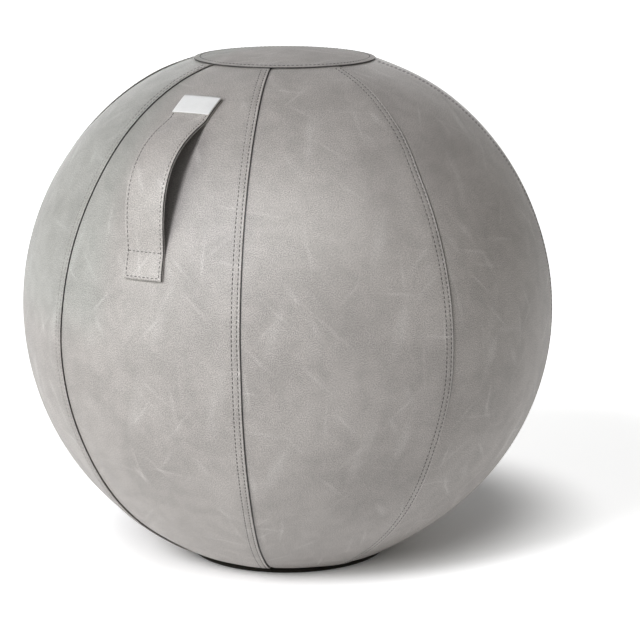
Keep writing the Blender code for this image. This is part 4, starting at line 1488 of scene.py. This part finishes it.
def add_floor(stage):
    """A pale floor with the ball's real shadow; its white glow to the camera is held back in a painted
    shadow round the ring and to the ball's right, and shows elsewhere.
    """
    plane = bmesh.new()
    bmesh.ops.create_grid(plane, x_segments=1, y_segments=1, size=FLOOR_SIZE / 2)
    mesh = ended_mesh("floor", plane)
    finish = Finish("floor_white")
    finish.set(Base_Color=FLOOR_COLOUR, Roughness=0.9, Specular_IOR_Level=0.0)
    aside = Vector((math.cos(stage.azimuth), math.sin(stage.azimuth), 0.0))
    behind = Vector((-math.sin(stage.azimuth), math.cos(stage.azimuth), 0.0))
    shadow = SHADOW_ASIDE * aside + SHADOW_BEHIND * behind
    away = {"operation": "DISTANCE"}
    ring = RING_BEHIND * behind
    from_ring = finish.node("ShaderNodeVectorMath", away, {0: finish.place(), 1: ring}, "Value")
    from_shadow = finish.node("ShaderNodeVectorMath", away, {0: finish.place(), 1: shadow}, "Value")
    # Painted shadow: the glow fades out round the ring and in the patch to the right
    darkest = 1.0 - SHADOW_DEPTH
    clear = finish.ramp(from_ring, *RING_SHADE) * finish.ramp(from_shadow, *SHADOW_SHADE, darkest, 1.0)
    glow = shown(finish, *seen_directly(finish)) * clear * FLOOR_GLOW
    finish.set(Emission_Color=finish.grey(glow), Emission_Strength=1.0)
    mesh.materials.append(finish.material)
    floor = bpy.data.objects.new("floor", mesh)
    bpy.context.scene.collection.objects.link(floor)


def add_world(scene, stage):
    """A dim room with a white backdrop behind the ball; the camera sees white all round."""
    world = bpy.data.worlds.new("studio")
    world.use_nodes = True
    scene.world = world
    finish = Finish("studio", world.node_tree)
    background = world.node_tree.nodes["Background"]
    background.inputs["Color"].default_value = (1.0, 1.0, 1.0, 1.0)
    behind = (-math.sin(stage.azimuth), math.cos(stage.azimuth), 0.0)
    settings = {"operation": "DOT_PRODUCT"}
    ray = finish.node("ShaderNodeTexCoord", output="Generated")
    facing = finish.node("ShaderNodeVectorMath", settings, {0: ray, 1: behind}, "Value")
    light = ROOM_LIGHT + finish.ramp(facing, *BACKDROP_SPREAD, 0.0, BACKDROP_LIGHT)
    camera, mirrored = seen_directly(finish)
    white = shown(finish, camera, mirrored * finish.ramp(facing, *BACKDROP_EDGE))
    finish.feed(background.inputs["Strength"], light + white * (1.0 - light))


def add_lamp(name, azimuth, elevation, strength, spread, colour, glint):
    """A far lamp that faces the ball. Strength 1 shows a colour as written; a glint shows only in gloss."""
    lamp = bpy.data.lights.new(name, "SUN")
    lamp.angle = math.radians(spread)
    lamp.energy = strength * math.pi
    lamp.color = colour
    holder = bpy.data.objects.new(name, lamp)
    holder.location = point_at(LAMP_DISTANCE, math.pi / 2 - elevation, azimuth)
    holder.rotation_euler = (CENTRE - holder.location).to_track_quat("-Z", "Y").to_euler()
    holder.visible_diffuse = not glint
    bpy.context.scene.collection.objects.link(holder)


# Picture, sensor in millimetres, and the pixel that the ball's centre falls on
PICTURE_PIXELS = 640
SENSOR = 36.0
CENTRE_PIXEL = (286.9, 302.8)


def add_camera(scene, stage):
    """The camera, turned so that the ball's centre falls on its place in the picture."""
    data = bpy.data.cameras.new("camera")
    data.sensor_width = SENSOR
    data.lens = stage.focal_pixels / PICTURE_PIXELS * SENSOR
    camera = bpy.data.objects.new("camera", data)
    camera.location = point_at(stage.distance, math.pi / 2 - stage.elevation, stage.azimuth)
    aim = (CENTRE - camera.location).to_track_quat("-Z", "Y")
    right = math.atan((CENTRE_PIXEL[0] - PICTURE_PIXELS / 2) / stage.focal_pixels)
    down = math.atan((CENTRE_PIXEL[1] - PICTURE_PIXELS / 2) / stage.focal_pixels)
    camera.rotation_mode = "QUATERNION"
    camera.rotation_quaternion = aim @ Euler((down, right, stage.roll)).to_quaternion()
    scene.collection.objects.link(camera)
    scene.camera = camera


class SITBALL_PT_sidebar(bpy.types.Panel):
    """Lists the ball's settings and the steps that build it"""

    bl_idname = "SITBALL_PT_sidebar"
    bl_label = "Sitting Ball"
    bl_space_type = "VIEW_3D"
    bl_region_type = "UI"
    bl_category = "Sitting Ball"

    def draw(self, context):
        for key in GROUPS:
            group = getattr(context.scene, key)
            box = self.layout.box()
            for name in group.__annotations__:
                box.prop(group, name)
        for operator in OPERATORS:
            self.layout.operator(operator.bl_idname)


OPERATORS = (
    SITBALL_OT_stage,
    SITBALL_OT_inner_ball,
    SITBALL_OT_panels,
    SITBALL_OT_seams,
    SITBALL_OT_patch,
    SITBALL_OT_base,
    SITBALL_OT_handle,
    SITBALL_OT_zip,
)
GROUPS = {
    "sitball_cover": SITBALL_PG_cover,
    "sitball_handle": SITBALL_PG_handle,
    "sitball_fittings": SITBALL_PG_fittings,
    "sitball_stage": SITBALL_PG_stage,
}
CLASSES = (*GROUPS.values(), *OPERATORS, SITBALL_PT_sidebar)


def register():
    for cls in CLASSES:
        bpy.utils.register_class(cls)
    for name, group in GROUPS.items():
        setattr(bpy.types.Scene, name, PointerProperty(type=group))


def unregister():
    for name in GROUPS:
        delattr(bpy.types.Scene, name)
    for cls in reversed(CLASSES):
        bpy.utils.unregister_class(cls)


def main():
    """Build every piece in order."""
    register()
    bpy.ops.sitball.stage()
    bpy.ops.sitball.inner_ball()
    bpy.ops.sitball.panels()
    bpy.ops.sitball.seams()
    bpy.ops.sitball.patch()
    bpy.ops.sitball.base()
    bpy.ops.sitball.handle()
    bpy.ops.sitball.zip()


if __name__ == "__main__":
    main()
